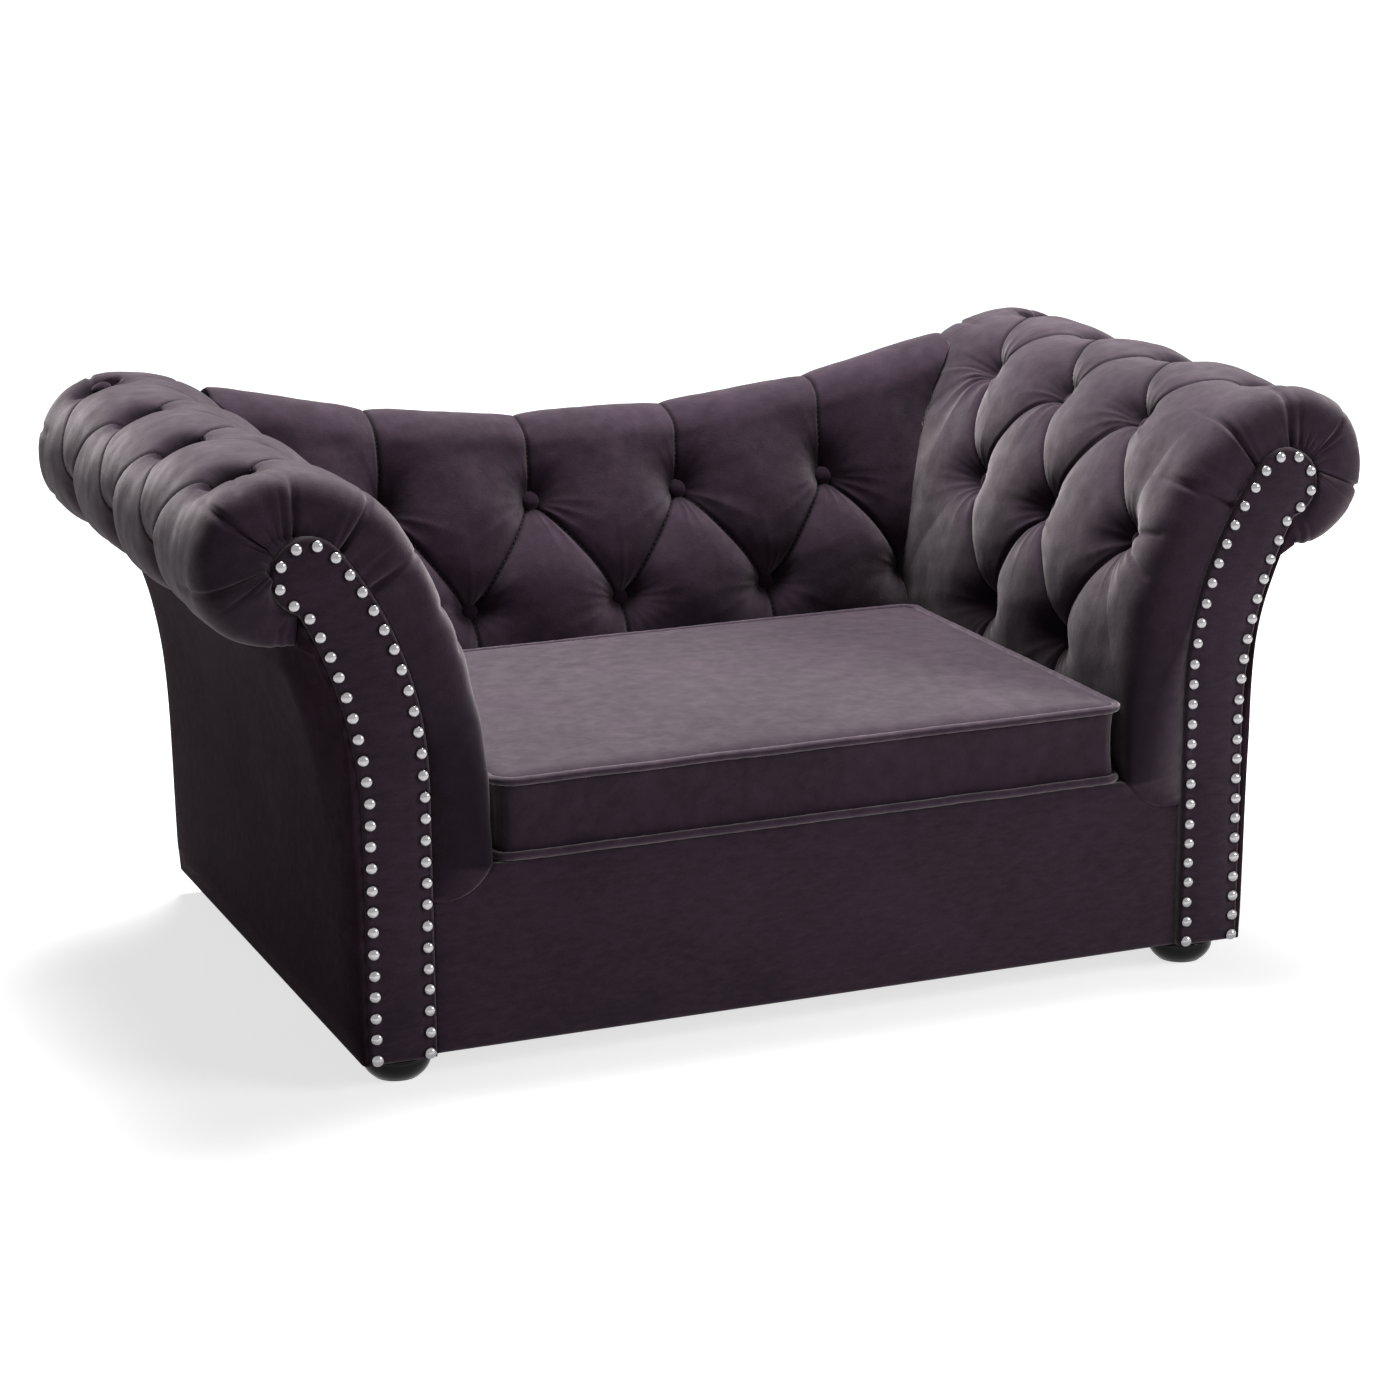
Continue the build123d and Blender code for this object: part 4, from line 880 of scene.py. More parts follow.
def back_piece():
    """The back's upholstery as a closed mesh, and its button seats."""
    dips = back_dips()
    count = 2 * BACK_SIDE_STATIONS
    stations = [BACK_PITCH / 2 * (k - BACK_SIDE_STATIONS) for k in range(count + 1)]
    knots = [0, 102, 197, 300, 371]
    along, across = clustered(count), clustered(4)
    sink, lean = tuft_sink(dips, along, across, lambda j: j != 1)
    xx, cc = np.meshgrid(np.interp(along, np.arange(count + 1), stations), across, indexing="ij")
    ss = np.interp(across, np.arange(5), knots)[None, :] + 0 * xx
    cloth = Cloth(xx, ss)
    back_folds(cloth, dips, stations, knots)
    sink = BACK_PUFF_SHARE * sink + cloth.dimples(dips, stations, knots) + cloth.fold
    sink = sink * (1 + 0.05 * ripple(xx, ss, 190, 41))
    loose = ripples(xx, ss, (0.9, 55, 45), (0.4, 27, 46), (1.3, 140, 47)) + cloth.pull
    x = xx + 3.0 * ripple(xx, ss, 130, 43) * edge_fade(370 - np.abs(xx), 60)
    y, z = back_skin(x, cc, sink)
    for _ in range(3):
        # at the rear of the roll the ends reach further, which closes the gap to the arms
        limit = np.minimum(arm_limit(z), 369.7) + 12 * smooth_step((y - 520) / 30)
        held = np.sign(x) * np.minimum(np.abs(x), limit)
        y, z = back_skin(held, cc, sink)
    # beyond the arm every column folds onto the last one, with the sink of the place it stops at
    for j in range(x.shape[1]):
        for side in (1, -1):
            out = np.where(side * x[:, j] > limit[:, j])[0]
            if len(out):
                for layer in (sink, cloth.groove, loose, held):
                    layer[out, j] = layer[out[0] if side > 0 else out[-1], j]
    normal = grid_normals(xyz(xx, *back_skin(held, cc, sink * 0)))
    if normal[len(xx) // 2, PER_CELL // 2, 1] > 0:
        normal = -normal
    skin = xyz(held, *back_skin(held, cc, sink)) + normal * (loose - cloth.groove)[:, :, None]
    skin[:, :, 0] = held
    rows, columns = skin.shape[:2]
    heel, foot = skin[:, -1].copy(), skin[:, 0].copy()
    heel[:, 1] = foot[:, 1] = BOARD_FRONT - FIT_GAP
    faces = grid_faces(rows, columns, lean)
    top = rows * columns
    bottom = top + rows
    for i in range(rows - 1):
        faces.append((i * columns + columns - 1, top + i, top + i + 1, (i + 1) * columns + columns - 1))
        faces.append((i * columns, (i + 1) * columns, bottom + i + 1, bottom + i))
        faces.append((top + i, bottom + i, bottom + i + 1, top + i + 1))
    for row in (0, rows - 1):
        faces.append([row * columns + j for j in range(columns)] + [top + row, bottom + row])
    # painted shade on the back's face, none beyond the arms where the columns fold back
    mark = np.where(np.abs(xx) > limit, 0, cloth.mark)
    piece = new_piece("back_upholstery", np.concatenate([skin.reshape(-1, 3), heel, foot]), faces,
                      seam=np.concatenate([mark.ravel(), np.zeros(2 * rows)]))
    cloth.lines = [pair for pair in cloth.lines if max(abs(pair[0][0]), abs(pair[1][0])) < ARM_FACE_X - 6]
    cloth.sew("back_stitches", skin)
    seats = []
    for i, j in dips:
        if j in (1, 2) and abs(stations[i]) < ARM_FACE_X - 9:
            gi, gj = i * PER_CELL, j * PER_CELL
            where = x[gi, gj]
            seat, rim = (np.array([where, *map(float, back_skin(where, cc[gi, gj], deep))])
                         for deep in (sink[gi, gj], 0.0))
            seats.append((seat, rim - seat))
    return piece, seats


# Buttons, nails and feet
def turned(profile, sides, wave=0.0, waves=0, phase=0.0):
    """Points and faces of a turned shape on the Z axis, from radius, height and share of the wave."""
    points = []
    for radius, height, share in profile:
        for k in range(sides):
            turn = 2 * math.pi * k / sides
            pull = 1 + wave * share * math.sin(waves * turn + phase)
            points.append((radius * pull * math.cos(turn), radius * pull * math.sin(turn), height))
    return np.array(points), grid_faces(len(profile), sides, wrap=True)


def button_piece(name, seats):
    """All covered buttons of a pad in one mesh."""
    shapes = []
    for k, (seat, out) in enumerate(seats):
        shape, sides = turned(BUTTON_PROFILE, 28, 0.05, 9, 1.7 * k)
        turn = Vector(out).to_track_quat("Z", "Y").to_matrix()
        tilt = (Matrix.Rotation(BUTTON_TILT * math.sin(2.3 * k), 3, "X")
                @ Matrix.Rotation(BUTTON_TILT * math.cos(1.9 * k), 3, "Y"))
        shapes.append((shape @ np.array(turn @ tilt).T + seat - BUTTON_SINK * out / np.linalg.norm(out), sides))
    return joined_piece(name, shapes)


def nail_seats():
    """Places of the nail heads along the facing's edge, as in the part's source."""
    bottom = FOOT_HEIGHT + 5.0
    path = np.concatenate([scroll_inner(NAIL_INSET, bottom, 900), scroll_outer(NAIL_INSET, bottom, 900)[1:]])
    length = np.linalg.norm(np.diff(path, axis=0), axis=1).sum()
    return even_points(path, int(round(length / NAIL_PITCH)) + 1)


def nail_piece(side):
    """The row of domed nail heads of one facing."""
    shapes = []
    rng = np.random.default_rng(60 + side)
    shape, sides = turned([(NAIL_RADIUS * r, NAIL_HEIGHT * h, 0) for r, h in NAIL_PROFILE], 20)
    for x, z in nail_seats():
        tilt = Matrix.Rotation(rng.normal(0, NAIL_TILT), 3, "X") @ Matrix.Rotation(rng.normal(0, NAIL_TILT), 3, "Z")
        matrix = np.array(tilt @ Matrix.Rotation(math.radians(90), 3, "X"))
        seat = np.array([side * (x + rng.normal(0, NAIL_STRAY)), -0.1, z + rng.normal(0, NAIL_STRAY)])
        shapes.append((shape @ matrix.T + seat, sides))
    return joined_piece(word_of(side) + "_nail_heads", shapes)


def foot_piece(corner, x, y):
    profile = np.concatenate([FOOT_PROFILE[:2], smooth_line(FOOT_PROFILE[2:-1], 44), FOOT_PROFILE[-1:]])
    shape, faces = turned([(r, h, 0) for r, h in profile], 56)
    return new_piece(corner + "_bun_foot", shape + np.array([x, y, 0]), faces)


# Flat padded panels
def polygon_inset(outline, inset):
    """A closed outline moved inwards by an inset; the outline runs anticlockwise."""
    edge = np.roll(outline, -1, axis=0) - np.roll(outline, 1, axis=0)
    normal = np.stack([-edge[:, 1], edge[:, 0]], axis=1)
    normal /= np.maximum(np.linalg.norm(normal, axis=1, keepdims=True), 1e-9)
    return outline + normal * inset


def inside_polygon(points, outline):
    """Which points lie inside a closed outline."""
    x, z = points[:, 0][:, None], points[:, 1][:, None]
    x0, z0 = outline[:, 0][None, :], outline[:, 1][None, :]
    x1, z1 = np.roll(outline[:, 0], -1)[None, :], np.roll(outline[:, 1], -1)[None, :]
    crosses = (z0 > z) != (z1 > z)
    hit = x < (x1 - x0) * (z - z0) / np.where(z1 == z0, 1e-9, z1 - z0) + x0
    return (np.sum(crosses & hit, axis=1) % 2) == 1


def edge_distance(points, outline):
    """How far each point is from a closed outline."""
    best = np.full(len(points), 1e9)
    for a, b in zip(outline, np.roll(outline, -1, axis=0)):
        d = b - a
        t = np.clip(((points - a) @ d) / max(d @ d, 1e-9), 0, 1)
        best = np.minimum(best, np.linalg.norm(points - (a + t[:, None] * d), axis=1))
    return best


def filled(rim, spacing):
    """Points and triangles that fill a closed rim evenly, and each point's distance from it."""
    xs, zs = (np.arange(rim[:, k].min(), rim[:, k].max(), spacing) for k in (0, 1))
    lattice = np.array([(x + (spacing / 2 if k % 2 else 0), z) for k, z in enumerate(zs) for x in xs])
    lattice = lattice[inside_polygon(lattice, rim)]
    lattice = lattice[edge_distance(lattice, rim) > spacing * 0.45]
    flat = [Vector(p) for p in rim] + [Vector(p) for p in lattice]
    edges = [(k, (k + 1) % len(rim)) for k in range(len(rim))]
    verts, _, faces, _, _, _ = delaunay_2d_cdt(flat, edges, [], 1, 1e-4)
    place = np.array([tuple(v) for v in verts])
    inner = inside_polygon(np.array([place[list(f)].mean(0) for f in faces]), rim)
    return place, [f for f, keep in zip(faces, inner) if keep], edge_distance(place, rim)


def panel(name, outline, front, back, radius, spacing, puff):
    """A flat padded panel: an outline in XZ with a rounded front edge and a filled, puffed face.

    front and back are depths; puff gives how far the face stands towards the front.
    """
    x, z = outline[:, 0], outline[:, 1]
    if np.sum(x * np.roll(z, -1) - np.roll(x, -1) * z) < 0:
        outline = outline[::-1]
    sense = 1 if back > front else -1
    levels = [(0, back), (0, front + sense * radius)]
    for a in np.radians([30, 60, 90]):
        levels.append((radius * (1 - math.cos(a)), front + sense * radius * (1 - math.sin(a))))
    rings = []
    for inset, y in levels:
        line = polygon_inset(outline, inset)
        rings.append(xyz(line[:, 0], y, line[:, 1]))
    count = len(outline)
    place, faces, reach = filled(polygon_inset(outline, radius), spacing)
    rise = puff(place[:, 0], place[:, 1], reach)
    face_points = xyz(place[:, 0], front - sense * rise, place[:, 1])
    sides = grid_faces(len(rings), count, wrap=True)
    fill = [tuple(len(rings) * count + v for v in face) for face in faces]
    return new_piece(name, np.concatenate(rings + [face_points]), sides + fill + [tuple(range(count))])


def facing_outline(spacing):
    """The scroll of an arm's end, from the foot of its inner side over the tip to its outer foot and back."""
    inner = scroll_inner(0, FOOT_HEIGHT, int(470 / spacing))
    outer = scroll_outer(0, FOOT_HEIGHT, int(400 / spacing))
    foot = np.linspace((SCROLL_OUTER_X, FOOT_HEIGHT), (SCROLL_INNER_X, FOOT_HEIGHT), int(57 / spacing))[1:-1]
    return np.concatenate([inner, outer[1:], foot])


def facing_piece(side):
    """An arm's facing, with the dents that the nails press into it."""
    seats = nail_seats()

    def puff(x, z, reach):
        dents = sum(1.1 * np.exp(-(((x - sx) ** 2 + (z - sz) ** 2) / 6.0**2)) for sx, sz in seats)
        crown = 1.6 * (1 - np.exp(-np.maximum(reach - 6, 0) / 8))
        return crown + 0.35 * ripple(x, z, 60, 70 + side) * edge_fade(reach, 8) - dents

    piece = panel("facing_" + word_of(side), facing_outline(5.0), front=0, back=12, radius=3.0, spacing=4.5, puff=puff)
    if side < 0:
        piece.data.transform(Matrix.Scale(-1, 4, (1, 0, 0)))
        piece.data.flip_normals()
    return piece


def rear_panel_piece():
    """The flat cover of the rear, from scroll to scroll under the dished line."""
    side = facing_outline(6.0)
    join_z = crest_at(SCROLL_INNER_X) - BACK_ROLL - FIT_GAP
    # the right scroll runs up its inner side, over its tip and down its outer side
    right = side[(side[:, 1] > join_z) | (side[:, 0] > SCROLL_INNER_X + 30)]
    xs = np.linspace(-right[0, 0] + 4, right[0, 0] - 4, 120)
    top = np.stack([xs, crest_at(xs) - BACK_ROLL - FIT_GAP], axis=1)
    foot = np.linspace((SCROLL_OUTER_X - 6, FOOT_HEIGHT), (-SCROLL_OUTER_X + 6, FOOT_HEIGHT), 130)
    right = np.concatenate([right[right[:, 1] > FOOT_HEIGHT + 0.5], [[SCROLL_OUTER_X, FOOT_HEIGHT]]])
    left = right[::-1] * np.array([-1, 1])

    def puff(x, z, reach):
        return 1.2 * (1 - np.exp(-reach / 30)) + 0.7 * ripple(x, z, 150, 80) * edge_fade(reach, 40)

    return panel("rear_cover", np.concatenate([top, right, foot, left]), front=REAR, back=REAR - 6,
                 radius=2.5, spacing=11, puff=puff)


def front_cover_piece():
    """The plain front below the cushion, its top corners cut round the arm pads' lower ends."""
    wide, seat = SCROLL_INNER_X - FIT_GAP, ARM_FACE_X - FIT_GAP
    top, low = DECK_TOP - FIT_GAP, DECK_TOP - PAD_DROP - FIT_GAP
    corner = draped((wide, low), (seat, top), np.linspace(0, 1, 14))
    corner = corner + np.outer(np.sin(np.linspace(0, math.pi, 14)), [1.5, 5.0])
    mirror = np.array([-1, 1])
    across = np.linspace((seat, top), (-seat, top), 110)[1:-1]
    foot = np.linspace((-wide, FOOT_HEIGHT), (wide, FOOT_HEIGHT), 130)
    left_side = np.linspace((-wide, low), (-wide, FOOT_HEIGHT), 24)[1:-1]
    outline = np.concatenate([corner, across, corner[::-1] * mirror, left_side, foot, left_side[::-1] * mirror])

    def puff(x, z, reach):
        return 1.6 * (1 - np.exp(-reach / 14)) + 0.7 * ripple(x, 2.2 * z, 170, 90) * edge_fade(reach, 25)

    return panel("front_apron", outline, front=6, back=12, radius=3.5, spacing=9, puff=puff)


def side_panel_piece(side):
    """The padded outer side of an arm, swelling out to the underside of the roll."""
    control = [(403, 24), (404, 80), (405, 150), (406.4, 200), (410, 245), (418, 290), (428.5, 325),
               (438.5, 350), (445.2, 366)]
    line = even_points(smooth_line(control, 80), 64)
    x0, z = line[:, 0], line[:, 1]
    board = board_at(z)
    edge = [3.4, 2.2, 1.2, 0.5, 0.1]
    depths = np.concatenate([[2.0, 2.2, 3.0, 4.4, 6.5], np.linspace(10, 572.5, 92),
                             [576, 578.2, 579.6, 580.2, 580.4]])
    sag = np.concatenate([edge, np.zeros(92), edge[::-1]])
    corner = scroll_corner(-FIT_GAP)
    lip = [(444.6, 374.0), (444.2, 384.0), (corner[0] + 0.4, corner[1] - 1.5)]
    lip += [(board_at(height), height) for height in (375, 366, 346, 308, 270, 240, 224)]
    tail = even_points(lip + [(SCROLL_OUTER_X + FIT_GAP, FOOT_HEIGHT)], 34)
    rows = []
    for y, drawn in zip(depths, sag):
        inner = min(y - 2.0, REAR - y)
        swell = 7.0 * (1 - math.exp(-inner / 18))
        uneven = 0.8 * ripple(y, z, 130, 100 + side) * min(1, inner / 40)
        x = x0 - drawn + (swell + uneven) * edge_fade(z - FOOT_HEIGHT, 25) * edge_fade(366 - z, 25)
        share = 0.26 + 0.74 * smooth_step((y - 2) / 62)
        x = board + (x - board) * (1 - (1 - share) * smooth_step((z - 190) / 140))
        around = np.concatenate([np.stack([x, z], axis=1), tail])
        rows.append(xyz(around[:, 0], y, around[:, 1]))
    ring = np.array(rows) * np.array([side, 1, 1])
    count, around = ring.shape[:2]
    faces = grid_faces(count, around, wrap=True)
    faces += [tuple(range(around)), tuple(range((count - 1) * around, count * around))]
    return new_piece(word_of(side) + "_outer_side", ring, faces)


# Box cushion
def cushion_outline(inset, per_corner=12, spacing=BOX_SPACING):
    """The cushion's outline in XY, anticlockwise, with evenly divided sides."""
    corner = max(CUSHION_CORNER - inset, CUSHION_CORNER / 2)
    half_x, half_y = CUSHION_HALF - inset - corner, CUSHION_HALF_DEPTH - inset - corner
    centres = [(half_x, half_y), (-half_x, half_y), (-half_x, -half_y), (half_x, -half_y)]
    numbers = [int(2 * (half - CUSHION_CORNER) / spacing) for half in (CUSHION_HALF, CUSHION_HALF_DEPTH)]
    points = []

    def on_corner(k, turn):
        return (centres[k][0] + corner * math.cos(turn), CUSHION_MIDDLE + centres[k][1] + corner * math.sin(turn))

    for quarter in range(4):
        for k in range(per_corner + 1):
            points.append(on_corner(quarter, math.radians(90 * (quarter + k / per_corner))))
        start = np.array(points[-1])
        end = np.array(on_corner((quarter + 1) % 4, math.radians(90 * (quarter + 1))))
        number = numbers[quarter % 2]
        points += [tuple(start + (end - start) * k / number) for k in range(1, number)]
    return np.array(points)


def top_rise(x, y, reach):
    """How high the cushion's top stands over its seam."""
    u = np.clip(np.abs(x) / (CUSHION_HALF - 4), 0, 1)
    v = np.clip(np.abs(y - CUSHION_MIDDLE) / (CUSHION_HALF_DEPTH - 4), 0, 1)
    crown = CUSHION_CROWN * (1 - u**3.2) ** 0.8 * (1 - v**2.6) ** 0.8
    edge = 3.5 * (1 - np.exp(-reach / 5))
    uneven = ripples(x, y, (0.9, 210, 131), (0.35, 70, 132)) * edge_fade(reach, 50)
    pucker = 0.35 * np.exp(-reach / 12) * ripple(x, y, 22, 133)
    return crown + edge + uneven + pucker * edge_fade(reach, 4)


def cushion_piece():
    """The cushion cover: crowned top, boxing drawn in between the welts, and a flat underside."""
    tall = HIGH_WELT - LOW_WELT
    levels = [(5.0, CUSHION_BOTTOM + 0.3), (1.2, CUSHION_BOTTOM + 1.6), (0, LOW_WELT + 1.5)]
    levels += [(3.2 * math.sin(math.pi * t) ** 0.6, LOW_WELT + tall * t) for t in np.linspace(0.06, 0.94, 15)]
    levels += [(0, HIGH_WELT - 1.5), (0.8, HIGH_WELT + 0.3)]
    rings, shades = [], []
    for draw, height in levels:
        line = cushion_outline(SEAM_INSET + draw)
        nearest = min(abs(height - LOW_WELT), abs(height - HIGH_WELT))
        # painted shade on the boxing beside each piping
        shades += [0.8 * math.exp(-max(nearest - 2.0, 0) / 2.2)] * len(line)
        length = np.arange(len(line)) * BOX_SPACING
        middle = math.sin(math.pi * min(max((height - LOW_WELT) / tall, 0), 1))
        pucker = middle * (0.5 * ripple(length, height, 110, 120) + 0.22 * np.sin(length / 4.1))
        away = line - np.array([0, CUSHION_MIDDLE])
        line = line + away / np.linalg.norm(away, axis=1, keepdims=True) * pucker[:, None]
        rings.append(xyz(line[:, 0], line[:, 1], height))
    points = np.concatenate(rings)
    faces = grid_faces(len(rings), len(rings[0]), wrap=True)
    for ring, top in ((rings[0], False), (rings[-1], True)):
        place, fill, reach = filled(ring[:, :2], 8.0 if top else 24.0)
        z = ring[0, 2] + (top_rise(place[:, 0], place[:, 1], reach) if top else 0 * reach)
        start = len(points)
        points = np.concatenate([points, xyz(place[:, 0], place[:, 1], z)])
        # painted shade along the top's edge beside the piping, none underneath
        shades += list(0.55 * np.exp(-reach / 3.5) if top else 0 * reach)
        faces += [tuple(start + v for v in f) for f in fill]
    return new_piece("box_cushion", points, faces, seam=shades)


def welt_piece(name, height, seed):
    """A piped edge round the cushion."""
    line = cushion_outline(WELT_RADIUS + 0.1, per_corner=18, spacing=PIPING_SPACING)
    count, sides = len(line), PIPING_SIDES
    tangent = np.roll(line, -1, axis=0) - np.roll(line, 1, axis=0)
    tangent /= np.linalg.norm(tangent, axis=1, keepdims=True)
    out = np.stack([tangent[:, 1], -tangent[:, 0]], axis=1)
    length = np.arange(count) * PIPING_SPACING
    wave = 0.45 * ripple(length, 0, 90, seed)
    sway = 0.35 * ripple(length, 0, 70, seed + 1)
    rings = []
    for k in range(sides):
        turn = 2 * math.pi * k / sides
        radius = 1.1 * WELT_RADIUS * (1 + 0.03 * np.sin(length / 2.6 + 2 * turn))
        place = line + out * (sway + radius * math.cos(turn))[:, None]
        rings.append(xyz(place[:, 0], place[:, 1], height + wave + radius * math.sin(turn)))
    faces = grid_faces(sides, count, wrap=True)
    last = (sides - 1) * count
    faces += [(last + j, j, (j + 1) % count, last + (j + 1) % count) for j in range(count)]
    return new_piece(name, np.concatenate(rings), faces)


# Zip on the cushion's rear boxing
def rounded_block(low, high, radius):
    """Points and faces of a block with softened edges."""
    x0, y0, z0 = low
    x1, y1, z1 = high
    points = []
    for inset, y in ((radius, y0), (0, y0 + radius), (0, y1 - radius), (radius, y1)):
        a, b, c, d = x0 + inset, x1 - inset, z0 + inset, z1 - inset
        points += [(x, y, z) for x, z in ((a + radius, c), (b - radius, c), (b, c + radius), (b, d - radius),
                                          (b - radius, d), (a + radius, d), (a, d - radius), (a, c + radius))]
    faces = grid_faces(4, 8, wrap=True) + [tuple(range(8)), tuple(range(24, 32))]
    return points, faces


def zip_pieces():
    """Its tape, teeth and slider with the pull."""
    face = CUSHION_REAR - 8.0 + FIT_GAP
    middle = (LOW_WELT + HIGH_WELT) / 2
    across = middle + np.array([-11, -10.6, -6, -2.6, 2.6, 6, 10.6, 11.0])
    gx, gz = np.meshgrid(np.linspace(-ZIP_HALF, ZIP_HALF, 161), across, indexing="ij")
    lift = np.array([0.1, 0.7, 0.95, 1.1, 1.1, 0.95, 0.7, 0.1])
    top = xyz(gx, face + lift + 0.12 * ripple(gx, gz, 40, 140), gz)
    tape = closed_sheet("zip_tape", top, xyz(gx, face - 0.1, gz))
    blocks = []
    for k in range(ZIP_TEETH):
        x, lean = 2 * k - ZIP_TEETH, 0.5 if k % 2 else -0.5
        blocks.append(rounded_block((x - 0.85, face + 1.0, middle - 2.2 + lean),
                                    (x + 0.85, face + 2.4, middle + 2.2 + lean), 0.35))
    teeth = joined_piece("zip_teeth", blocks, smooth=False)
    # the slider's body, its two cheeks and the pull
    boxes = [(179.5, 190.5, 2.8, 4.4, -4.5, 4.5, 0.6), (179.5, 190.5, 1.4, 2.9, -4.5, -3.0, 0.4),
             (179.5, 190.5, 1.4, 2.9, 3.0, 4.5, 0.4), (161.8, 180.5, 2.9, 3.7, -2.4, 2.4, 0.35)]
    blocks = [rounded_block((x0, face + y0, middle + z0), (x1, face + y1, middle + z1), radius)
              for x0, x1, y0, y1, z0, z1, radius in boxes]
    return tape, teeth, joined_piece("zip_pull", blocks)


# Linings
def deck_lining():
    """The lining on the deck under the cushion, in slight waves, its rear edge tucked under the back."""
    depths = np.concatenate([np.linspace(DECK_FRONT, DECK_REAR, 66), [427, 430, DECK_TUCK]])
    gx, gy = np.meshgrid(np.linspace(-DECK_HALF, DECK_HALF, 90), depths, indexing="ij")
    inner = edge_fade(np.minimum(DECK_HALF - np.abs(gx), np.minimum(gy - DECK_FRONT, DECK_REAR - gy)), 20)
    wave = 0.12 * ripple(gx, gy, 90, 150) * inner
    tuck = 0.6 * smooth_step((gy - DECK_REAR) / 1.2)
    return closed_sheet("deck_lining", xyz(gx, gy, DECK_TOP - 0.15 - tuck + wave), xyz(gx, gy, DECK_TOP - 0.95))


def dust_lining():
    """The thin lining under the base, stretched between the rails."""
    gx, gy = np.meshgrid(np.linspace(-DUST_HALF, DUST_HALF, 110), np.linspace(DUST_FRONT, DUST_REAR, 80),
                         indexing="ij")
    inner = edge_fade(np.minimum(DUST_HALF - np.abs(gx), np.minimum(gy - 12, DUST_REAR - gy)), 60)
    sag = 0.25 * ripple(gx, gy, 160, 152) * inner
    return closed_sheet("dust_lining", xyz(gx, gy, DUST_LOW + 0.6), xyz(gx, gy, DUST_LOW + sag))


# Materials
def times(share, colour):
    return tuple(share * v for v in colour)


def feed(tree, node, values):
    """Sets a node's sockets, each to a constant or to another node's output."""
    for key, value in values.items():
        socket = node.inputs[key]
        if isinstance(value, bpy.types.NodeSocket):
            tree.links.new(value, socket)
        elif socket.type == "RGBA":
            socket.default_value = (*value, 1)
        else:
            socket.default_value = value


def add_node(tree, kind, values=None, **settings):
    node = tree.nodes.new("ShaderNode" + kind)
    for key, value in settings.items():
        setattr(node, key, value)
    feed(tree, node, values or {})
    return node


def node_material(name):
    material = bpy.data.materials.new(name)
    material.use_nodes = True
    tree = material.node_tree
    return material, tree, tree.nodes["Principled BSDF"], add_node(tree, "TexCoord").outputs["Object"]


def noise(tree, place, scale, detail=4.0, rough=0.55, stretch=(1, 1, 1), distortion=0.0):
    """Noise over the object's own coordinates, in metres; returns its factor."""
    if stretch != (1, 1, 1):
        place = add_node(tree, "Mapping", {"Scale": stretch, "Vector": place}).outputs["Vector"]
    return add_node(tree, "TexNoise", {"Scale": scale, "Detail": detail, "Roughness": rough,
                                       "Distortion": distortion, "Vector": place}).outputs["Fac"]


def ramp(tree, factor, stops):
    """A colour ramp; a stop is a position with a colour or a grey."""
    node = add_node(tree, "ValToRGB", {"Fac": factor})
    elements = node.color_ramp.elements
    while len(elements) < len(stops):
        elements.new(0.5)
    for element, (position, colour) in zip(elements, stops):
        element.position = position
        element.color = (*(colour if isinstance(colour, tuple) else (colour,) * 3), 1)
    return node.outputs["Color"]


def mix_colour(tree, factor, first, second, kind="MIX"):
    """A colour mix; 6, 7 and 2 are the node's colour sockets."""
    values = {"Factor": factor, 6: first, 7: second}
    return add_node(tree, "Mix", values, data_type="RGBA", blend_type=kind).outputs[2]


def bump(tree, shader, heights):
    """A chain of bumps, each a height, the distance in metres that it stands for, and a strength."""
    last = {}
    for height, distance, strength in heights:
        node = add_node(tree, "Bump", {"Distance": distance, "Strength": strength, "Height": height, **last})
        last = {"Normal": node.outputs["Normal"]}
    feed(tree, shader, last)


def velvet(name, dark=VELVET_DARK, light=VELVET_LIGHT, sheen=SHEEN, streak=(1, 1, 1), gloss=0.08):
    """Short-pile velvet: patches where the nap lies over, fine fibres and a soft sheen."""
    material, tree, shader, place = node_material(name)
    patches = noise(tree, place, 9.0, 3.0, 0.5, distortion=0.6)
    mottle = noise(tree, place, 70.0, 5.0, 0.62, streak)
    fibres = noise(tree, place, 900.0, 2.0, 0.6)
    middle = tuple((a + b) / 2 for a, b in zip(dark, light))
    spots = ramp(tree, mottle, [(0.30, times(0.62, middle)), (0.52, middle), (0.75, times(1.5, middle))])
    colour = mix_colour(tree, 0.5, ramp(tree, patches, [(0.32, dark), (0.72, light)]), spots)
    colour = mix_colour(tree, 0.8, colour, ramp(tree, fibres, [(0.3, 0.72), (0.7, 1.2)]), "MULTIPLY")
    # Painted shade: where the points carry it, the colour goes towards a third of the dark and the sheen nearly to
    # nothing.
    sewn_or_shade = add_node(tree, "Attribute", attribute_name="seam").outputs["Fac"]
    weight = ramp(tree, mottle, [(0.30, 0.80 * sheen), (0.52, sheen), (0.72, 1.2 * sheen)])
    lying = ramp(tree, noise(tree, place, 15.0, 4.0, 0.6, (1, 1.9, 1), 0.8), [(0.3, 0.91), (0.7, 1.06)])
    weight = mix_colour(tree, 1.0, weight, lying, "MULTIPLY")
    feed(tree, shader, {"Base Color": mix_colour(tree, sewn_or_shade, colour, times(0.35, dark)), "Roughness": 0.85,
                        "Specular IOR Level": gloss,
                        "Sheen Weight": mix_colour(tree, sewn_or_shade, weight, (0.03 * sheen,) * 3),
                        "Sheen Roughness": SHEEN_ROUGHNESS, "Sheen Tint": SHEEN_TINT})
    bump(tree, shader, [(mottle, 0.0012, 0.35), (fibres, 0.0005, 0.45)])
    return material


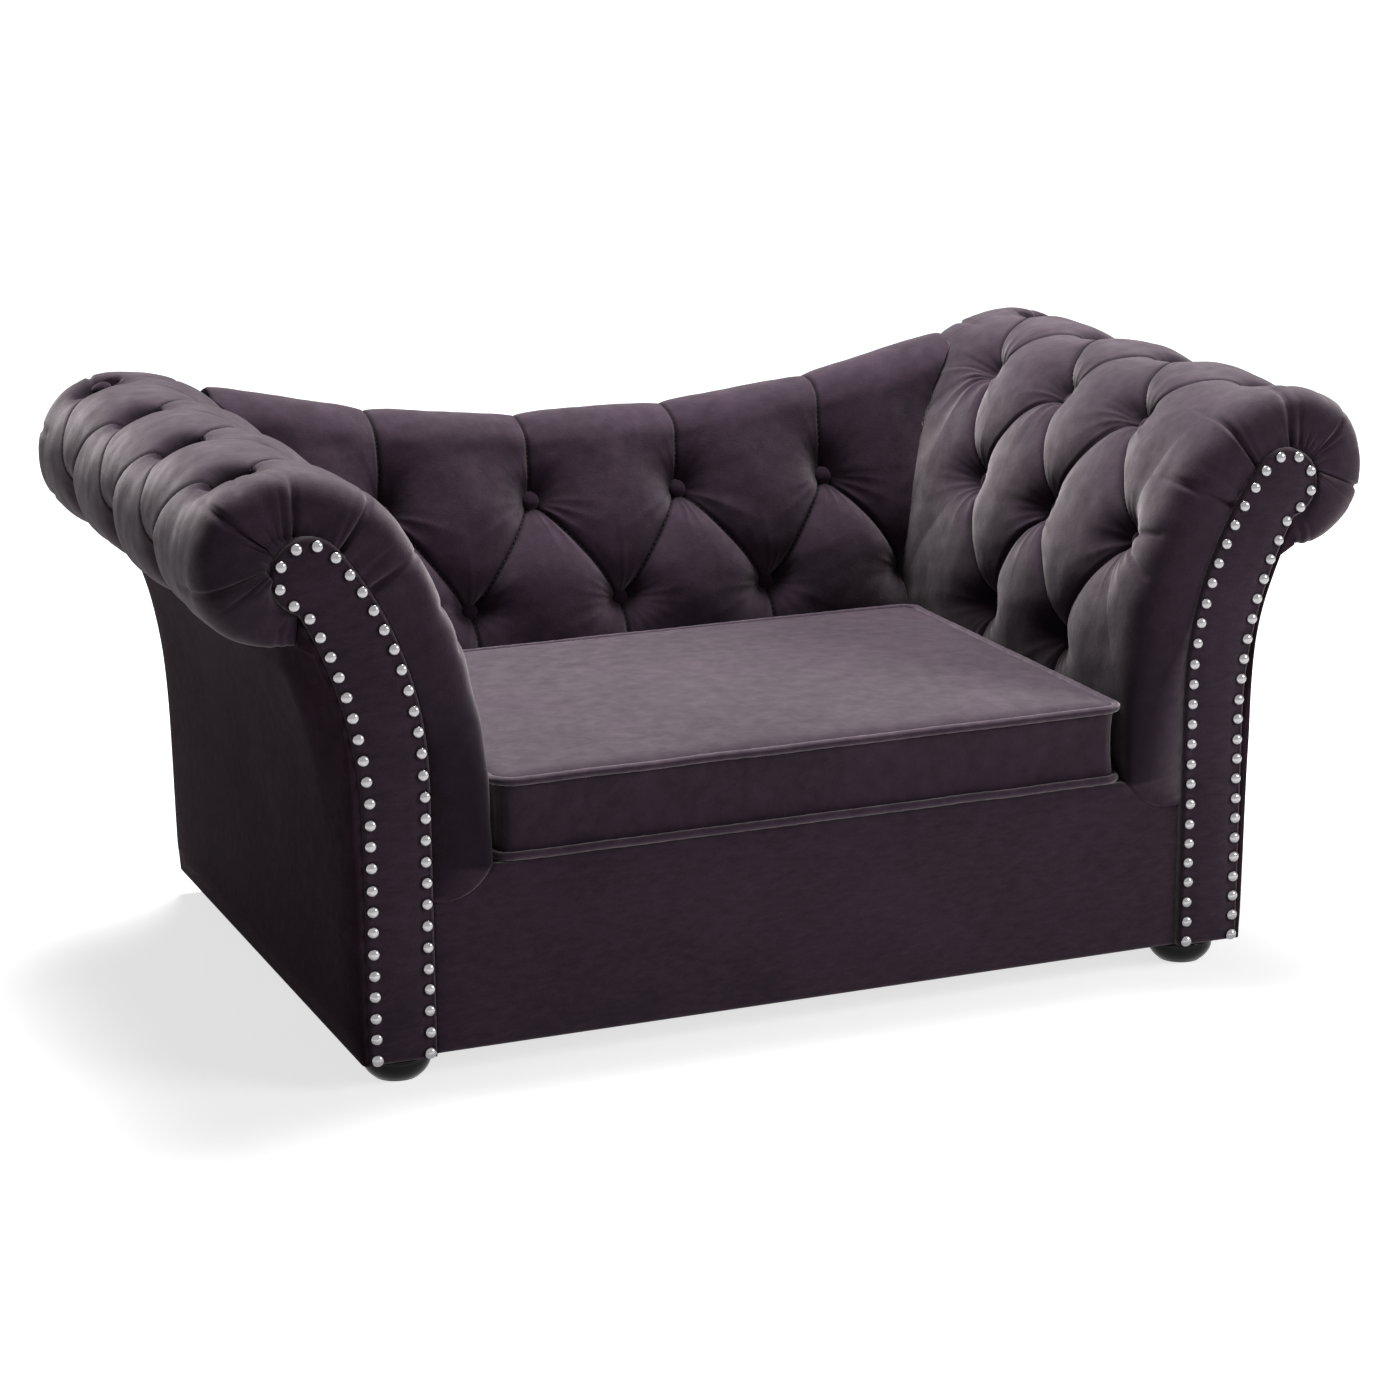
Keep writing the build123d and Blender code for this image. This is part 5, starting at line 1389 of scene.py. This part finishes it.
def woven(name, dark, light, scale=1300.0):
    """Thin woven lining."""
    material, tree, shader, place = node_material(name)
    warp, weft = (add_node(tree, "TexWave", {"Scale": scale / 6.3, "Distortion": 0.6, "Vector": place},
                           wave_type="BANDS", bands_direction=axis).outputs["Fac"] for axis in ("X", "Y"))
    patches = ramp(tree, noise(tree, place, 20.0, 4.0), [(0.3, dark), (0.7, light)])
    feed(tree, shader, {"Base Color": mix_colour(tree, warp, patches, light), "Roughness": 0.9})
    bump(tree, shader, [(warp, 0.0003, 0.5), (weft, 0.0003, 0.5)])
    return material


def metal(name, colour, rough):
    material, tree, shader, place = node_material(name)
    smear = noise(tree, place, 260.0, 3.0)
    feed(tree, shader, {"Base Color": ramp(tree, smear, [(0.3, times(0.86, colour)), (0.7, colour)]),
                        "Roughness": ramp(tree, smear, [(0.3, rough * 0.7), (0.75, rough * 1.4)]), "Metallic": 1.0})
    bump(tree, shader, [(smear, 0.0002, 0.15)])
    return material


def wood(name, dark, light, stretch):
    """Raw wood with its grain along the axis that isn't stretched."""
    material, tree, shader, place = node_material(name)
    rings = ramp(tree, noise(tree, place, 9.0, 8.0, 0.6, stretch, 1.2), [(0.35, dark), (0.62, light)])
    fine = noise(tree, place, 120.0, 6.0, 0.7, tuple(1 if v == 1 else v / 3 for v in stretch))
    colour = mix_colour(tree, 0.35, rings, ramp(tree, fine, [(0.3, dark), (0.7, light)]))
    feed(tree, shader, {"Base Color": colour, "Roughness": 0.62})
    bump(tree, shader, [(fine, 0.0006, 0.4)])
    return material


def lacquer(name, colour):
    """Black lacquer with faint orange peel and a few dull smears."""
    material, tree, shader, place = node_material(name)
    smear = noise(tree, place, 24.0, 5.0)
    feed(tree, shader, {"Base Color": ramp(tree, smear, [(0.3, times(0.8, colour)), (0.8, times(1.5, colour))]),
                        "Roughness": ramp(tree, smear, [(0.35, 0.12), (0.8, 0.26)]),
                        "Specular IOR Level": 0.12, "Coat Weight": 0.05, "Coat Roughness": 0.08})
    bump(tree, shader, [(noise(tree, place, 220.0, 3.0), 0.0004, 0.12)])
    return material


pile = velvet("velvet_pile")
pile_flat = velvet("velvet_flat", streak=(1, 1, 2.6))
# Shaded copy of the velvet for the outer sides and the rear: no sheen and little gloss, so they stay dark as in shade.
pile_side_shaded = velvet("velvet_side_shaded", SIDE_DARK, SIDE_LIGHT, 0.0, gloss=0.02)
# Dimmed copy for the back: less sheen, a painted shade over the whole back.
pile_back_dimmed = velvet("velvet_back_dimmed", sheen=0.34)
# Shaded copy for the buttons: darker, with little sheen, painted shade down in their cups.
pile_button_shaded = velvet("velvet_buttons_shaded", times(0.7, VELVET_DARK), times(0.75, VELVET_LIGHT), 0.12)
# Lit copy for the piping: lighter, with more sheen, a painted highlight on the cords.
pile_cord_lit = velvet("velvet_piping_lit", times(1.3, VELVET_DARK), times(1.35, VELVET_LIGHT), 0.8)
thread_cloth = woven("sewing_thread", (0.010, 0.006, 0.010), (0.026, 0.018, 0.026), 5200.0)
lining_and_shade = woven("lining_cloth", (0.012, 0.012, 0.013), (0.026, 0.026, 0.028))
nail_metal = metal("nail_steel", (0.37, 0.355, 0.37), 0.07)
screw_metal = metal("screw_zinc", (0.62, 0.62, 0.64), 0.34)
zip_metal = metal("zip_dark_metal", (0.10, 0.09, 0.10), 0.3)
zip_cloth = woven("zip_cloth", (0.014, 0.011, 0.014), (0.028, 0.022, 0.028), 2400.0)
foot_lacquer = lacquer("foot_lacquer", (0.010, 0.009, 0.010))
ply = wood("raw_plywood", (0.40, 0.27, 0.15), (0.66, 0.50, 0.32), (14, 14, 1))
pine = wood("raw_pine", (0.55, 0.38, 0.20), (0.78, 0.62, 0.42), (1, 14, 14))

for name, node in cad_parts.items():
    if name.endswith("_rail") or "cleat" in name or "corner_block" in name:
        finish = pine
    elif name == "foot_screws":
        finish = screw_metal
    elif name.endswith(("_post", "_liner", "_side_board")):
        # painted shade: their edges show as a thin line beside the pleats, so they take the dark lining, where raw
        # wood would be too pale
        finish = lining_and_shade
    else:
        finish = ply
    node.data.materials.clear()
    node.data.materials.append(finish)

# Pieces
for side, word in ((1, "right"), (-1, "left")):
    arm, seats = arm_piece(side, 11 if side > 0 else 23)
    settle(arm, "sofa", "velvet", pile, word + "_arm_pad", fill=0.85)
    settle(button_piece(word + "_tuft_buttons", seats), "sofa", "velvet", pile_button_shaded, word + "_arm_buttons")
    settle(facing_piece(side), "sofa", "velvet", pile_flat, word + "_facing")
    settle(nail_piece(side), "sofa", "nail_heads", nail_metal, word + "_facing_nails")
    settle(side_panel_piece(side), "sofa", "velvet", pile_side_shaded, word + "_side_panel")

back, seats = back_piece()
settle(back, "sofa", "velvet", pile_back_dimmed, "back_pad", fill=0.85)
settle(button_piece("back_tuft_buttons", seats), "sofa", "velvet", pile_button_shaded, "back_buttons")
settle(rear_panel_piece(), "sofa", "velvet", pile_side_shaded, "rear_panel")
settle(front_cover_piece(), "sofa", "velvet", pile_flat, "front_cover")

settle(cushion_piece(), "cushion", "velvet", pile, "cushion_cover", "cushion_foam", fill=0.8)
settle(welt_piece("upper_piping", HIGH_WELT, 160), "cushion", "velvet", pile_cord_lit, "cushion_top_welt")
settle(welt_piece("lower_piping", LOW_WELT, 164), "cushion", "velvet", pile_cord_lit, "cushion_bottom_welt")
tape, teeth, pull = zip_pieces()
settle(tape, "cushion", "zip_tape", zip_cloth, "cushion_zip")
settle(teeth, "cushion", "zip_tape", zip_metal)
settle(pull, "slider", "zip_metal", zip_metal, "zip_slider")

deck = deck_lining()
settle(deck, "sofa", "lining_cloth", lining_and_shade, "deck_cloth")
dust = dust_lining()
settle(dust, "sofa", "lining_cloth", lining_and_shade, "dust_cover")

for corner, x, y in (("front_right", FOOT_X, FOOT_INSET), ("front_left", -FOOT_X, FOOT_INSET),
                     ("rear_right", FOOT_X, REAR - FOOT_INSET), ("rear_left", -FOOT_X, REAR - FOOT_INSET)):
    settle(foot_piece(corner, x, y), "sofa", "black_lacquer", foot_lacquer, corner + "_foot")


# Floor, lights and camera
def seen_directly(tree):
    """One where the camera sees the background, itself or in a gloss or through glass, else nought."""
    path = add_node(tree, "LightPath")
    last = path.outputs["Is Camera Ray"]
    for kind in ("Is Glossy Ray", "Is Transmission Ray"):
        last = add_node(tree, "Math", {0: last, 1: path.outputs[kind]}, operation="MAXIMUM").outputs[0]
    return last


def lay_floor():
    """A wide pale floor whose glow brightens outwards into the white of the world."""
    mesh = bpy.data.meshes.new("floor")
    corners = [(FLOOR_HALF * x, FLOOR_HALF * y, 0) for x, y in ((-1, -1), (1, -1), (1, 1), (-1, 1))]
    mesh.from_pydata(corners, [], [(0, 1, 2, 3)])
    floor = bpy.data.objects.new("floor", mesh)
    bpy.context.scene.collection.objects.link(floor)
    material, tree, shader, place = node_material("pale_floor")
    feed(tree, shader, {"Base Color": (FLOOR_COLOUR,) * 3, "Roughness": 0.9, "Specular IOR Level": 0.1})
    away = add_node(tree, "VectorMath", {0: place}, operation="LENGTH").outputs["Value"]
    far = add_node(tree, "MapRange", {"From Min": FADE_NEAR, "From Max": FADE_FAR, "To Min": FLOOR_GLOW,
                                      "To Max": 1.0, "Value": away})
    scale = add_node(tree, "Math", {0: seen_directly(tree), 1: far.outputs["Result"]}, operation="MULTIPLY")
    glow = add_node(tree, "Emission", {"Strength": scale.outputs[0]})
    both = add_node(tree, "AddShader", {0: shader.outputs[0], 1: glow.outputs[0]})
    feed(tree, tree.nodes["Material Output"], {"Surface": both.outputs[0]})
    mesh.materials.append(material)


def light_scene():
    """A white world that lights the part only faintly, and two softboxes."""
    world = bpy.data.worlds.new("studio")
    bpy.context.scene.world = world
    world.use_nodes = True
    tree = world.node_tree
    strength = add_node(tree, "MapRange", {"To Min": AMBIENT, "To Max": 1.0, "Value": seen_directly(tree)})
    feed(tree, tree.nodes["Background"], {"Strength": strength.outputs["Result"], "Color": (1, 1, 1)})
    for name, place, aim, size, power in SOFTBOXES:
        light = bpy.data.lights.new(name, "AREA")
        light.shape = "RECTANGLE"
        light.size, light.size_y = size
        light.energy = power
        lamp = bpy.data.objects.new(name, light)
        lamp.location = place
        lamp.rotation_euler = (Vector(aim) - Vector(place)).to_track_quat("-Z", "Y").to_euler()
        bpy.context.scene.collection.objects.link(lamp)


def photo_camera():
    """The camera of the photograph, as solved from its straight edges."""
    yaw, pitch, roll = (math.radians(v) for v in CAMERA_TURNS)
    ahead = Vector((math.sin(yaw) * math.cos(pitch), math.cos(yaw) * math.cos(pitch), -math.sin(pitch)))
    right = ahead.cross(Vector((0, 0, 1))).normalized()
    up = right.cross(ahead)
    turned_right = right * math.cos(roll) + up * math.sin(roll)
    turned_up = up * math.cos(roll) - right * math.sin(roll)
    matrix = Matrix((turned_right, turned_up, -ahead)).transposed().to_4x4()
    matrix.translation = Vector(CAMERA_PLACE)
    data = bpy.data.cameras.new("photo_camera")
    data.sensor_width = 36.0
    data.sensor_fit = "HORIZONTAL"
    data.lens = CAMERA_LENS
    data.clip_end = 100
    camera = bpy.data.objects.new("photo_camera", data)
    camera.matrix_world = matrix
    bpy.context.scene.collection.objects.link(camera)
    bpy.context.scene.camera = camera


lay_floor()
light_scene()
photo_camera()
bpy.context.scene.view_settings.view_transform = "Standard"
